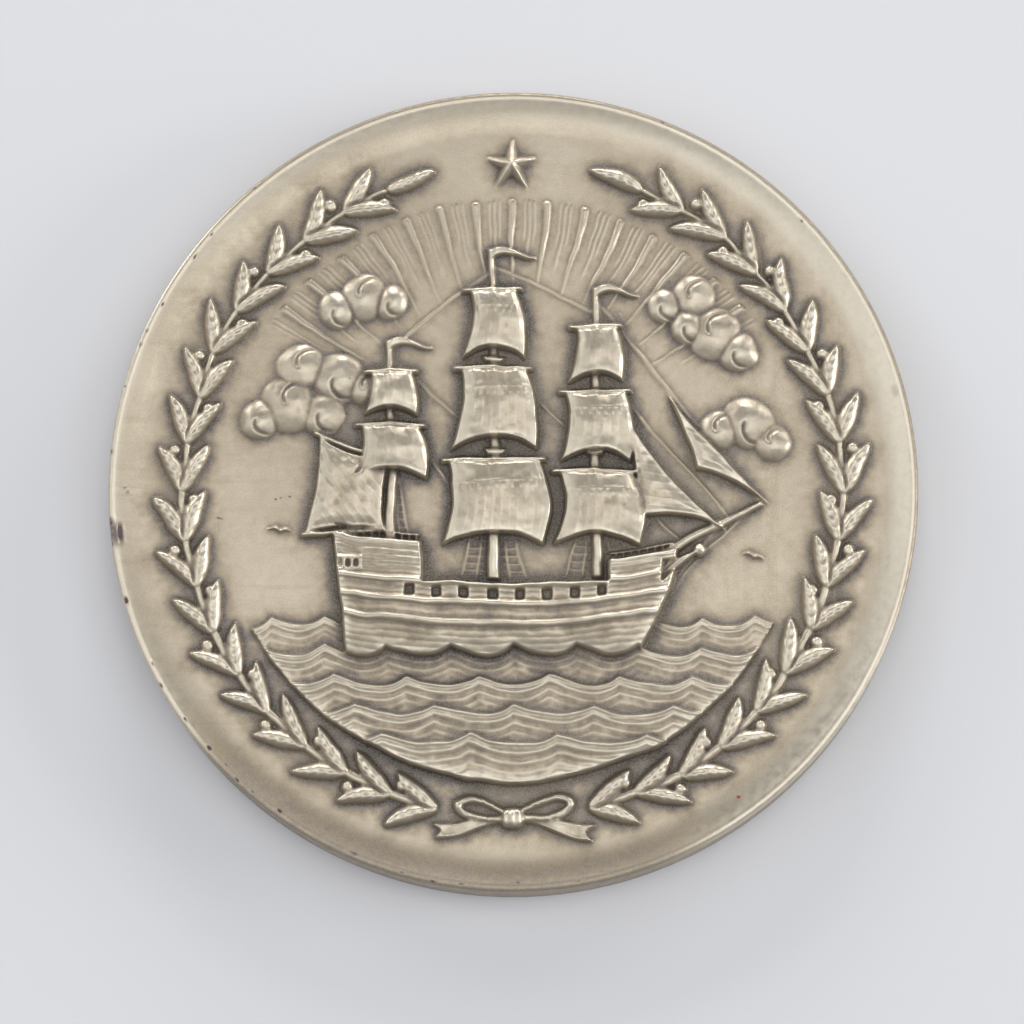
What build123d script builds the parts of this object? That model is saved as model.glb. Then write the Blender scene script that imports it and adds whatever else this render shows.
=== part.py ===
from build123d import *
from math import atan, ceil, degrees, floor, hypot, radians, sin, sqrt
import os

# A round struck commemorative medal, in millimetres, lying face up on its reverse.
# +Z is up, +Y is the top of the design, and the origin is the centre of the plane that it rests on.
# It is one piece of metal: a blank with a rounded rim, a dished border and a flat field, and raised relief.
# The relief is a laurel border tied with a ribbon, and inside it a ship on the sea under clouds and rays.

# Blank
diameter = 63.5
rim_height = 4.8
shoulder_round = 0.35
foot_round = 0.3
crest_round = 0.8
border_width = 3.0
border_depth = 0.7
reverse_rim_width = 2.6
reverse_depth = 0.5

# Every relief solid reaches this far down into the metal below the field
sink = 0.8

# Laurel border: angles are counted from the foot of the medal, up each side
branch_start = 13
branch_end = 157
leaf_pairs = 17
leaf_length = 4.3
leaf_width = 1.45
leaf_spread = 29
leaf_edge = 0.3
leaf_ridge = 0.8
stem_width = 0.8
stem_height = 0.45
berry_radius = 0.5
berry_reach = 0.95
berry_share = 0.86
border_clearance = 0.1

# Star in the gap at the top of the border
star_radius = 2.3
star_waist = 0.42
star_tip = 0.04
star_height = 1.0

# Ribbon bow at the foot of the border
loop_length = 4.8
loop_width = 2.5
loop_band = 0.7
loop_tilt = 14
bow_height = 0.7
knot_width = 1.9
knot_length = 1.7
knot_height = 1.15
tail_length = 6.4
tail_width = 1.15
tail_notch = 0.7
tail_droop = 11
tail_height = 0.45

# Sea: rows of waves, each row nearer, longer and higher than the one behind it.
# There are as many rows as the scene has room for, and the last one stands this deep or deeper.
scene_clearance = 0.3
horizon = -10.2
wave_spacing = 2.3
last_row_depth = 2.4
wave_length = 4.2
wave_growth = 0.16
wave_depth = 0.75
wave_height = 0.5
wave_rise = 0.24

# Sky
ray_count = 15
ray_spread = 116
ray_centre = 3.0
ray_start = 13.0
ray_width = 3.6
ray_height = 0.18
cloud_height = 0.6

# Ship: a hull seen from its side, sailing towards +X
hull_length = 27.0
hull_centre = -0.6
hull_height = 2.2
hull_edge = 1.3
freeboard = 3.0
draught = 0.15
sheer_sag = 0.5
deck_rise = 0.7
stern_rake = 1.2
stem_rake = 3.4
stem_curve = 0.35
poop_length = 7.0
poop_height = 2.9
forecastle_length = 5.4
forecastle_height = 1.5
wale_count = 3
wale_width = 0.42
wale_height = 0.2
wale_spacing = 1.5
port_count = 8
port_size = 0.72
port_depth = 0.3
port_spacing = 2.15

# Rig
main_mast = 26.4
mast_radius = 0.5
mast_tip_radius = 0.26
mast_level = 0.25
yard_radius = 0.3
yard_overhang = 0.55
bowsprit_length = 9.6
bowsprit_angle = 28
pennant_length = 3.4
pennant_width = 0.85
pennant_wave = 0.35
pennant_height = 0.5
sail_height = 1.5
free_sail_height = 1.1
sail_edge = 0.75
sail_blow = 0.09
foot_arch = 0.16

# Masts: the place is a share of the hull's length from its middle, the top a share of the main mast
masts = {
    "mizzen": {"place": -0.335, "top": 0.72},
    "main": {"place": -0.035, "top": 1.00},
    "fore": {"place": 0.265, "top": 0.88},
}

# Square sails: heights are shares of the main mast above the waist, widths are shares of the hull's length
square_sails = [
    {"mast": "mizzen", "head": 0.46, "foot": 0.31, "head_width": 0.165, "foot_width": 0.210},
    {"mast": "mizzen", "head": 0.62, "foot": 0.49, "head_width": 0.120, "foot_width": 0.155},
    {"mast": "main", "head": 0.36, "foot": 0.10, "head_width": 0.265, "foot_width": 0.290},
    {"mast": "main", "head": 0.63, "foot": 0.39, "head_width": 0.200, "foot_width": 0.255},
    {"mast": "main", "head": 0.87, "foot": 0.66, "head_width": 0.130, "foot_width": 0.185},
    {"mast": "fore", "head": 0.32, "foot": 0.10, "head_width": 0.225, "foot_width": 0.250},
    {"mast": "fore", "head": 0.56, "foot": 0.35, "head_width": 0.170, "foot_width": 0.215},
    {"mast": "fore", "head": 0.76, "foot": 0.59, "head_width": 0.115, "foot_width": 0.155},
]

# Fore-and-aft sails: a corner's x is a share of the hull's length from its middle, its y of the main mast
free_sails = [
    {"corners": [(-0.350, 0.35), (-0.545, 0.43), (-0.580, 0.13), (-0.350, 0.15)], "hollow": 0.05},
    {"corners": [(0.300, 0.62), (0.640, 0.14), (0.385, 0.19)], "hollow": 0.07},
    {"corners": [(0.335, 0.80), (0.765, 0.23), (0.560, 0.32)], "hollow": 0.05},
]

# Cloud puffs: places and radii are shares of the scene's radius
cloud_puffs = [
    {"x": -0.86, "y": 0.24, "radius": 0.070},
    {"x": -0.76, "y": 0.29, "radius": 0.100},
    {"x": -0.65, "y": 0.26, "radius": 0.080},
    {"x": -0.72, "y": 0.42, "radius": 0.085},
    {"x": -0.60, "y": 0.38, "radius": 0.095},
    {"x": -0.50, "y": 0.34, "radius": 0.065},
    {"x": -0.60, "y": 0.62, "radius": 0.065},
    {"x": -0.51, "y": 0.66, "radius": 0.080},
    {"x": -0.41, "y": 0.64, "radius": 0.060},
    {"x": 0.88, "y": 0.16, "radius": 0.065},
    {"x": 0.80, "y": 0.22, "radius": 0.090},
    {"x": 0.70, "y": 0.19, "radius": 0.070},
    {"x": 0.60, "y": 0.56, "radius": 0.065},
    {"x": 0.69, "y": 0.53, "radius": 0.090},
    {"x": 0.77, "y": 0.47, "radius": 0.070},
    {"x": 0.62, "y": 0.66, "radius": 0.075},
    {"x": 0.52, "y": 0.63, "radius": 0.060},
]

# Places worked out from the sizes above
radius = diameter / 2
crest_radius = radius - shoulder_round
field_radius = crest_radius - border_width
field_level = rim_height - border_depth
relief_floor = field_level - sink
relief_plane = Plane.XY.offset(relief_floor)
branch_half = leaf_length * sin(radians(leaf_spread)) + leaf_width / 4
branch_radius = field_radius - branch_half - border_clearance
scene_radius = branch_radius - branch_half - scene_clearance
wave_rows = 1 + floor((scene_radius + horizon - last_row_depth) / wave_spacing)
waist_line = horizon + freeboard
poop_line = waist_line + poop_height
forecastle_line = waist_line + forecastle_height
hull_foot = horizon - wave_spacing - wave_depth - draught
stern = hull_centre - hull_length / 2
stem = hull_centre + hull_length / 2


def cap_radius(half_span, rise):
    """The radius of the sphere or cylinder whose cap has this half span and this rise."""
    return (half_span**2 + rise**2) / (2 * rise)


def along_hull(share):
    """The X at a share of the hull's length from its middle."""
    return hull_centre + hull_length * share


def up_mast(share):
    """The Y at a share of the main mast's height above the waist."""
    return waist_line + main_mast * share


def on_circle(distance, angle, height):
    """The point at this distance from the medal's axis, with angles counted from the foot of the medal."""
    return Vector(distance, 0, height).rotate(Axis.Z, angle - 90)


def wave_outline(row):
    """The water from one row of waves down to the foot of the scene, as a flat face."""
    level = horizon - wave_spacing * row
    length = wave_length * (1 + wave_growth * row)
    waves = 2 * ceil(scene_radius / length) + 1
    start = -length * (waves + row % 2) / 2
    end = start + length * waves
    with BuildSketch() as outline:
        with BuildLine():
            for wave in range(waves):
                left = start + length * wave
                trough = (left + length / 2, level - wave_depth)
                ThreePointArc((left, level), trough, (left + length, level))
            Polyline((end, level), (end, -scene_radius), (start, -scene_radius), (start, level))
        make_face()
    return outline.sketch


def make_spar(foot, tip, foot_radius, tip_radius, level):
    """A spar between two points: round on top, with straight sides that go down into the metal below it."""
    way = (tip - foot).normalized()
    side_top = sink + level
    with BuildPart() as spar:
        for point, half in ((foot, foot_radius), (tip, tip_radius)):
            place = Plane(point + Vector(0, 0, relief_floor), x_dir=way.rotate(Axis.Z, 90), z_dir=way)
            with BuildSketch(place):
                with BuildLine():
                    Polyline((half, side_top), (half, 0), (-half, 0), (-half, side_top))
                    ThreePointArc((-half, side_top), (0, side_top + half), (half, side_top))
                make_face()
        loft(ruled=True)
    return spar.part


def make_square_sail(sail):
    """A square sail, swollen like a cap, with its sides blown towards the bow and its foot arched."""
    middle = along_hull(masts[sail["mast"]]["place"])
    head = up_mast(sail["head"])
    foot = up_mast(sail["foot"])
    head_half = hull_length * sail["head_width"] / 2
    foot_half = hull_length * sail["foot_width"] / 2
    mean_half = (head_half + foot_half) / 2
    blow = sail_blow * (head - foot)
    centre = (head + foot) / 2
    ball = cap_radius(hypot(mean_half, centre - foot), sail_height - sail_edge)
    with BuildPart() as canvas:
        with BuildSketch(relief_plane):
            with BuildLine():
                yard = Line((middle - head_half, head), (middle + head_half, head))
                lee = ThreePointArc(yard @ 1, (middle + mean_half + blow, centre), (middle + foot_half, foot))
                top = foot + foot_arch * (head - foot)
                arch = ThreePointArc(lee @ 1, (middle, top), (middle - foot_half, foot))
                ThreePointArc(arch @ 1, (middle - mean_half + blow, centre), yard @ 0)
            make_face()
        extrude(amount=sink + sail_height)
        with Locations((middle, centre, field_level + sail_height - ball)):
            Sphere(ball, mode=Mode.INTERSECT)
    return canvas.part


def make_free_sail(sail):
    """A jib or a gaff sail, swollen like a cap, with hollow edges between its corners."""
    corners = [Vector(along_hull(x), up_mast(y)) for x, y in sail["corners"]]
    middle = sum(corners, Vector(0, 0)) / len(corners)
    reach = max((corner - middle).length for corner in corners)
    ball = cap_radius(reach, free_sail_height - sail_edge)
    with BuildPart() as canvas:
        with BuildSketch(relief_plane):
            with BuildLine():
                for here, there in zip(corners, corners[1:] + corners[:1]):
                    half_way = (here + there) / 2
                    inward = (middle - half_way).normalized()
                    ThreePointArc(here, half_way + inward * sail["hollow"] * (there - here).length, there)
            make_face()
        extrude(amount=sink + free_sail_height)
        with Locations((middle.X, middle.Y, field_level + free_sail_height - ball)):
            Sphere(ball, mode=Mode.INTERSECT)
    return canvas.part


# The blank: its half profile turned about Z, with two tangent arcs from the rim's crest to the field
border_slope = degrees(2 * atan(border_depth / border_width))
hollow_round = border_width / sin(radians(border_slope)) - crest_round
reverse_radius = radius - foot_round - reverse_rim_width
with BuildPart() as blank:
    with BuildSketch(Plane.XZ):
        with BuildLine():
            Polyline(
                (0, field_level),
                (0, reverse_depth),
                (reverse_radius - reverse_depth, reverse_depth),
                (reverse_radius, 0),
                (radius - foot_round, 0),
            )
            foot = JernArc((radius - foot_round, 0), (1, 0), foot_round, 90)
            edge = Line(foot @ 1, (radius, rim_height - shoulder_round))
            shoulder = JernArc(edge @ 1, (0, 1), shoulder_round, 90)
            crest = JernArc(shoulder @ 1, (-1, 0), crest_round, border_slope)
            hollow = JernArc(crest @ 1, crest % 1, hollow_round, -border_slope)
            Line(hollow @ 1, (0, field_level))
        make_face()
    revolve(axis=Axis.Z)

# One laurel leaf along +X: two flat faces rising from a low edge to a midrib
leaf_stations = [
    {"along": 0.00, "width": 0.20, "ridge": 0.70},
    {"along": 0.40, "width": 1.00, "ridge": 1.00},
    {"along": 0.72, "width": 0.74, "ridge": 0.92},
    {"along": 1.00, "width": 0.08, "ridge": 0.50},
]
with BuildPart() as leaf:
    for station in leaf_stations:
        half_width = leaf_width * station["width"] / 2
        ridge = leaf_edge + (leaf_ridge - leaf_edge) * station["ridge"]
        with BuildSketch(Plane.YZ.offset(leaf_length * station["along"])):
            with BuildLine():
                Polyline(
                    (-half_width, 0),
                    (half_width, 0),
                    (half_width, sink + leaf_edge),
                    (0, sink + ridge),
                    (-half_width, sink + leaf_edge),
                    close=True,
                )
            make_face()
    loft(ruled=True)

# The laurel border: a curved stem up each side, with leaves in pairs, one at its tip, and berries between
pair_step = (branch_end - branch_start) / leaf_pairs
leaf_places = [Location(on_circle(branch_radius, branch_end, relief_floor), (0, 0, branch_end))]
berry_places = []
for pair in range(leaf_pairs):
    angle = branch_start + pair_step * pair
    for turn in (leaf_spread, -leaf_spread):
        leaf_places.append(Location(on_circle(branch_radius, angle, relief_floor), (0, 0, angle + turn)))
    reach = berry_reach if pair % 2 else -berry_reach
    berry_places.append(on_circle(branch_radius + reach, angle + pair_step * berry_share, field_level))
with BuildPart() as laurel:
    with BuildSketch(Plane.XZ.rotated((0, 0, branch_start - 90))):
        with BuildLine():
            Polyline(
                (branch_radius - stem_width / 2, relief_floor),
                (branch_radius + stem_width / 2, relief_floor),
                (branch_radius + stem_width / 4, field_level + stem_height),
                (branch_radius - stem_width / 4, field_level + stem_height),
                close=True,
            )
        make_face()
    revolve(axis=Axis.Z, revolution_arc=branch_end - branch_start)
    with Locations(*leaf_places):
        add(leaf.part)
    with Locations(*berry_places):
        Sphere(berry_radius)
    mirror(about=Plane.YZ)

# The star: five points, each with two flat faces that meet on a ridge
with BuildPart() as star:
    for level, share in ((0, 1), (sink, 1), (sink + star_height, star_tip)):
        reaches = [star_radius * share * (star_waist if turn % 2 else 1) for turn in range(10)]
        corners = [Vector(0, reach).rotate(Axis.Z, 36 * turn) for turn, reach in enumerate(reaches)]
        with BuildSketch(relief_plane.offset(level)):
            with BuildLine():
                Polyline(*[corner + Vector(0, branch_radius) for corner in corners], close=True)
            make_face()
    loft(ruled=True)

# The ribbon bow: two loops, two notched tails below them, and the knot
bow_plane = Plane((0, -branch_radius, relief_floor))
with BuildPart() as bow:
    for side in (1, -1):
        with BuildSketch(bow_plane.rotated((0, 0, side * loop_tilt))):
            with Locations((side * loop_length / 2, 0)):
                Ellipse(loop_length / 2, loop_width / 2)
                Ellipse(loop_length / 2 - loop_band, loop_width / 2 - loop_band, mode=Mode.SUBTRACT)
        extrude(amount=sink + bow_height)
        with BuildSketch(bow_plane.rotated((0, 0, -side * tail_droop))):
            with BuildLine():
                Polyline(
                    (0, tail_width / 2),
                    (side * tail_length, tail_width / 2),
                    (side * (tail_length - tail_notch), 0),
                    (side * tail_length, -tail_width / 2),
                    (0, -tail_width / 2),
                    close=True,
                )
            make_face()
        extrude(amount=sink + tail_height)
    with BuildSketch(bow_plane):
        RectangleRounded(knot_width, knot_length, knot_width / 4)
    extrude(amount=sink + knot_height)

# The sea: rows of pointed crests joined by hollow arcs, cut to the round scene
with BuildPart() as sea:
    for row in range(wave_rows):
        with BuildSketch(relief_plane):
            add(wave_outline(row))
            Circle(scene_radius, mode=Mode.INTERSECT)
        extrude(amount=sink + wave_height + wave_rise * row)

# The sky: low rays that widen upwards to the edge of the scene
with BuildPart() as rays:
    with BuildSketch(Plane((0, ray_centre, relief_floor))):
        for ray in range(ray_count):
            angle = ray_spread * (ray / (ray_count - 1) - 0.5)
            with BuildLine():
                Polyline(
                    Vector(0, ray_start).rotate(Axis.Z, angle),
                    Vector(0, diameter).rotate(Axis.Z, angle + ray_width / 2),
                    Vector(0, diameter).rotate(Axis.Z, angle - ray_width / 2),
                    close=True,
                )
            make_face()
        with Locations((0, -ray_centre)):
            Circle(scene_radius, mode=Mode.INTERSECT)
    extrude(amount=sink + ray_height)

# Clouds: each puff is the cap of a sphere
with BuildPart() as clouds:
    for puff in cloud_puffs:
        ball = cap_radius(puff["radius"] * scene_radius, cloud_height)
        place = Vector(puff["x"], puff["y"]) * scene_radius
        with Locations((place.X, place.Y, field_level + cloud_height - ball)):
            Sphere(ball)
    split(bisect_by=relief_plane, keep=Keep.TOP)

# The ship's side view, cut below where the nearer waves lap it
with BuildPart() as side_view:
    with BuildSketch(relief_plane):
        with BuildLine():
            Polyline(
                (stern + stern_rake, hull_foot),
                (stern, poop_line + deck_rise),
                (stern + poop_length, poop_line),
                (stern + poop_length, waist_line),
            )
            ThreePointArc(
                (stern + poop_length, waist_line),
                (hull_centre, waist_line - sheer_sag),
                (stem - forecastle_length, waist_line),
            )
            Polyline(
                (stem - forecastle_length, waist_line),
                (stem - forecastle_length, forecastle_line),
                (stem, forecastle_line + deck_rise),
            )
            ThreePointArc(
                (stem, forecastle_line + deck_rise),
                (stem - stem_rake * stem_curve, (waist_line + hull_foot) / 2),
                (stem - stem_rake, hull_foot),
            )
            Line((stem - stem_rake, hull_foot), (stern + stern_rake, hull_foot))
        make_face()
        add(wave_outline(1), mode=Mode.SUBTRACT)
    extrude(amount=sink + hull_height + wale_height)

# The hull: the side view rounded from rail to keel like a cap, with a row of square gun ports
hull_middle = (poop_line + hull_foot) / 2
hull_curve = cap_radius(poop_line - hull_middle, hull_height - hull_edge)
hull_axis = Location((hull_centre, hull_middle, field_level + hull_height - hull_curve), (0, 90, 0))
port_line = waist_line - sheer_sag - (wale_spacing + wale_width) / 2
port_sill = hull_height - hull_curve + sqrt(hull_curve**2 - (port_line - hull_middle) ** 2) - port_depth
with BuildPart() as hull:
    add(side_view.part)
    with Locations(hull_axis):
        Cylinder(hull_curve, 2 * hull_length, mode=Mode.INTERSECT)
    with BuildSketch(Plane((hull_centre, port_line, field_level + port_sill))):
        with GridLocations(port_spacing, port_size, port_count, 1):
            Rectangle(port_size, port_size)
    extrude(amount=hull_height, mode=Mode.SUBTRACT)

# The wales: raised planks that follow the sheer from end to end
with BuildPart() as wales:
    for plank in range(wale_count):
        top = waist_line - wale_spacing * plank
        with BuildSketch(relief_plane):
            with BuildLine():
                for line in (top, top - wale_width):
                    sag = (hull_centre, line - sheer_sag)
                    ThreePointArc((stern, line + deck_rise), sag, (stem, line + deck_rise))
                for end in (stern, stem):
                    Line((end, top + deck_rise), (end, top - wale_width + deck_rise))
            make_face()
        extrude(amount=sink + hull_height + wale_height)
    add(side_view.part, mode=Mode.INTERSECT)
    with Locations(hull_axis):
        Cylinder(hull_curve + wale_height, 2 * hull_length, mode=Mode.INTERSECT)

# Masts, yards and the bowsprit
with BuildPart() as spars:
    for mast in masts.values():
        foot = Vector(along_hull(mast["place"]), waist_line)
        head = Vector(along_hull(mast["place"]), up_mast(mast["top"]))
        add(make_spar(foot, head, mast_radius, mast_tip_radius, mast_level))
    for sail in square_sails:
        middle = Vector(along_hull(masts[sail["mast"]]["place"]), up_mast(sail["head"]))
        yard_half = Vector(hull_length * sail["head_width"] / 2 + yard_overhang, 0)
        add(make_spar(middle - yard_half, middle + yard_half, yard_radius, yard_radius, sail_edge))
    heel = Vector(stem - stem_rake / 2, forecastle_line)
    bowsprit_end = heel + Vector(bowsprit_length, 0).rotate(Axis.Z, bowsprit_angle)
    add(make_spar(heel, bowsprit_end, mast_radius, mast_tip_radius, mast_level))

# Pennants streaming ahead from the mast tops, each between two arcs that meet in a point
with BuildPart() as pennants:
    for mast in masts.values():
        root = along_hull(mast["place"])
        top = up_mast(mast["top"])
        point = (root + pennant_length, top - pennant_width / 2)
        with BuildSketch(relief_plane):
            with BuildLine():
                hoist = Line((root, top), (root, top - pennant_width))
                for corner, fall in ((hoist @ 0, pennant_width / 8), (hoist @ 1, -pennant_width / 4)):
                    ThreePointArc(corner, corner + Vector(pennant_length / 2, pennant_wave - fall), point)
            make_face()
        extrude(amount=sink + pennant_height)

# The sails
square_canvas = [make_square_sail(sail) for sail in square_sails]
free_canvas = [make_free_sail(sail) for sail in free_sails]

# The medal: blank and relief are one piece of metal
with BuildPart() as medal:
    add(blank.part)
    add([laurel.part, star.part, bow.part, sea.part, rays.part, clouds.part])
    add([hull.part, wales.part, spars.part, pennants.part, *square_canvas, *free_canvas])
medal.part.label = "medal"

os.makedirs("parts", exist_ok=True)
export_step(medal.part, "parts/medal.step")
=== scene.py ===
"""A struck commemorative medal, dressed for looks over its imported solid.

Sizes are in millimetres and angles in degrees. The meshes go out in metres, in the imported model's frame:
+Z is up, +Y is the top of the design, and the medal lies face up on its reverse. The relief is worked out
as heights above the field on a square raster, and the pieces of the face read that raster.
"""

import logging
import math
from dataclasses import dataclass, field
from enum import Enum
from functools import reduce

import bpy
import numpy as np
from mathutils import Matrix, Vector


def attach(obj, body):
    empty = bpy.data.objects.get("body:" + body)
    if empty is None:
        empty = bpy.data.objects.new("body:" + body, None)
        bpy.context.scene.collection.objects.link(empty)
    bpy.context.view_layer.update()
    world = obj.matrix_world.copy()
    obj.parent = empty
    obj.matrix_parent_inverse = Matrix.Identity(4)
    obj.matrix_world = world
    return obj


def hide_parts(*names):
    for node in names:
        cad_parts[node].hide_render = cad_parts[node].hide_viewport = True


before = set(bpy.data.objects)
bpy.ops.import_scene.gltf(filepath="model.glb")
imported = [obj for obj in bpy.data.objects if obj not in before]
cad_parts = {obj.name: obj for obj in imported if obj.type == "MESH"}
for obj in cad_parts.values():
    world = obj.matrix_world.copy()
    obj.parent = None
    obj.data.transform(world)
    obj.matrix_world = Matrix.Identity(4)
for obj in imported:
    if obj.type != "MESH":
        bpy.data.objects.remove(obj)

Array = np.ndarray
Point = tuple[float, float]
Triple = tuple[float, float, float]
Colour = tuple[float, float, float, float]
Socket = bpy.types.NodeSocket

MM = 0.001
NODE = "medal"
BODY = "root"
AXIS: Point = (0.0, 0.0)
BAND_INNER = 23.25
BAND_OUTER = 28.9

log = logging.getLogger("medal")


def unit(value: Array) -> Array:
    """Clip to 0..1."""
    return np.clip(value, 0.0, 1.0)


def least(*values: Array) -> Array:
    """The smallest of several, point by point."""
    return reduce(np.minimum, values)


def ease(value: Array) -> Array:
    """Ease from 0 to 1: 3v^2 - 2v^3 of the value clipped to 0..1."""
    clipped = unit(value)
    return clipped * clipped * (3.0 - 2.0 * clipped)


def cover(inside: Array, softness: float = 0.1) -> Array:
    """A mask with a soft edge: the eased distance inside the outline, half at the outline itself."""
    return ease(0.5 + inside / softness)


def ridge(away: Array, width: float) -> Array:
    """A rounded ridge along a line: e to minus the square of the distance over the width."""
    return np.exp(-((away / width) ** 2))


def off_line(value: Array, spacing: float) -> Array:
    """Distance to the nearest of evenly spaced lines, which stand at odd halves of the spacing."""
    return (np.mod(value / spacing, 1.0) - 0.5) * spacing


def hump(share: Array) -> Array:
    """A parabola that is 0 at both ends of a run and 1 at its middle."""
    clipped = unit(share)
    return 4.0 * clipped * (1.0 - clipped)


def round_over(radius: Array | float, away: Array) -> Array:
    """The height of a round: the root of r^2 - d^2, and 0 beyond its edge."""
    return np.sqrt(np.clip(radius**2 - away**2, 0.0, None))


def cap(half_span: float, rise: float, away: Array) -> Array:
    """How far the cap of a ball or cylinder lies under its top: the root of r^2 - d^2, less r.

    Args:
        half_span: Half the cap's width.
        rise: The cap's height, so that r is (half_span^2 + rise^2) / (2 rise).
        away: Distances from the cap's middle.

    Returns:
        Heights, 0 at the top and negative elsewhere.
    """
    radius = (half_span**2 + rise**2) / (2.0 * rise)
    return round_over(radius, away) - radius


@dataclass(frozen=True)
class MedalSizes:
    """The blank's sizes, and the places that the relief takes from them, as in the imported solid."""

    diameter: float = 63.5
    rim_height: float = 4.8
    shoulder_round: float = 0.35
    foot_round: float = 0.3
    crest_round: float = 0.8
    border_width: float = 3.0
    border_depth: float = 0.7
    reverse_rim_width: float = 2.6
    reverse_depth: float = 0.5
    leaf_length: float = 4.3
    leaf_width: float = 1.45
    leaf_spread: float = 29.0
    border_clearance: float = 0.1
    scene_clearance: float = 0.3
    horizon: float = -10.2
    wave_spacing: float = 2.3
    last_row_depth: float = 2.4
    wave_depth: float = 0.75

    @property
    def radius(self) -> float:
        """Half the diameter."""
        return self.diameter / 2.0

    @property
    def crest_radius(self) -> float:
        """Where the rim is highest."""
        return self.radius - self.shoulder_round

    @property
    def field_radius(self) -> float:
        """Where the flat field ends and the hollow border starts."""
        return self.crest_radius - self.border_width

    @property
    def field_level(self) -> float:
        """The field's height above the table."""
        return self.rim_height - self.border_depth

    @property
    def border_slope(self) -> float:
        """The steepest angle of the border, in radians, where its two tangent arcs meet."""
        return 2.0 * math.atan(self.border_depth / self.border_width)

    @property
    def hollow_round(self) -> float:
        """Radius of the border's hollow arc."""
        return self.border_width / math.sin(self.border_slope) - self.crest_round

    @property
    def reverse_radius(self) -> float:
        """Where the reverse's recess starts."""
        return self.radius - self.foot_round - self.reverse_rim_width

    @property
    def branch_half(self) -> float:
        """Half the width of the laurel border."""
        return self.leaf_length * math.sin(math.radians(self.leaf_spread)) + self.leaf_width / 4.0

    @property
    def branch_radius(self) -> float:
        """Radius of the laurel's stems."""
        return self.field_radius - self.branch_half - self.border_clearance

    @property
    def scene_radius(self) -> float:
        """Radius of the scene inside the laurel."""
        return self.branch_radius - self.branch_half - self.scene_clearance

    @property
    def wave_rows(self) -> int:
        """As many rows of waves as the scene has room for under its horizon."""
        return 1 + math.floor((self.scene_radius + self.horizon - self.last_row_depth) / self.wave_spacing)

    def hollow(self, distance: Array) -> tuple[Array, Array]:
        """The border's hollow arc: how far it rises over the field, and how steeply.

        The rise is R minus the root of R^2 - d^2, with d the distance beyond the field's edge.

        Args:
            distance: Distances from the medal's axis.

        Returns:
            The rise, and its slope along the radius.
        """
        beyond = np.clip(distance - self.field_radius, 0.0, 0.98 * self.hollow_round)
        root = np.sqrt(self.hollow_round**2 - beyond**2)
        return self.hollow_round - root, beyond / root


@dataclass
class Patch:
    """A window of the raster, with the X and Y of each of its cells."""

    place: tuple[slice, slice]
    x: Array
    y: Array

    def turned(self, start: Point, angle: float) -> tuple[Array, Array]:
        """Distances along and across a line from a point, at an angle in radians from +X."""
        dx, dy = self.x - start[0], self.y - start[1]
        turn_x, turn_y = math.cos(angle), math.sin(angle)
        return dx * turn_x + dy * turn_y, dy * turn_x - dx * turn_y

    def beside(self, start: Point, end: Point) -> tuple[Array, Array]:
        """Distances along and across the line from one point to another."""
        return self.turned(start, math.atan2(end[1] - start[1], end[0] - start[0]))

    def away(self, centre: Point) -> Array:
        """Distances from a point."""
        return np.hypot(self.x - centre[0], self.y - centre[1])

    def seen(self, side: int, foot: float = 0.0) -> "Patch":
        """The window as one side sees it: X turned over for side -1, and Y counted from a foot."""
        return Patch(self.place, side * self.x, self.y - foot)


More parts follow.
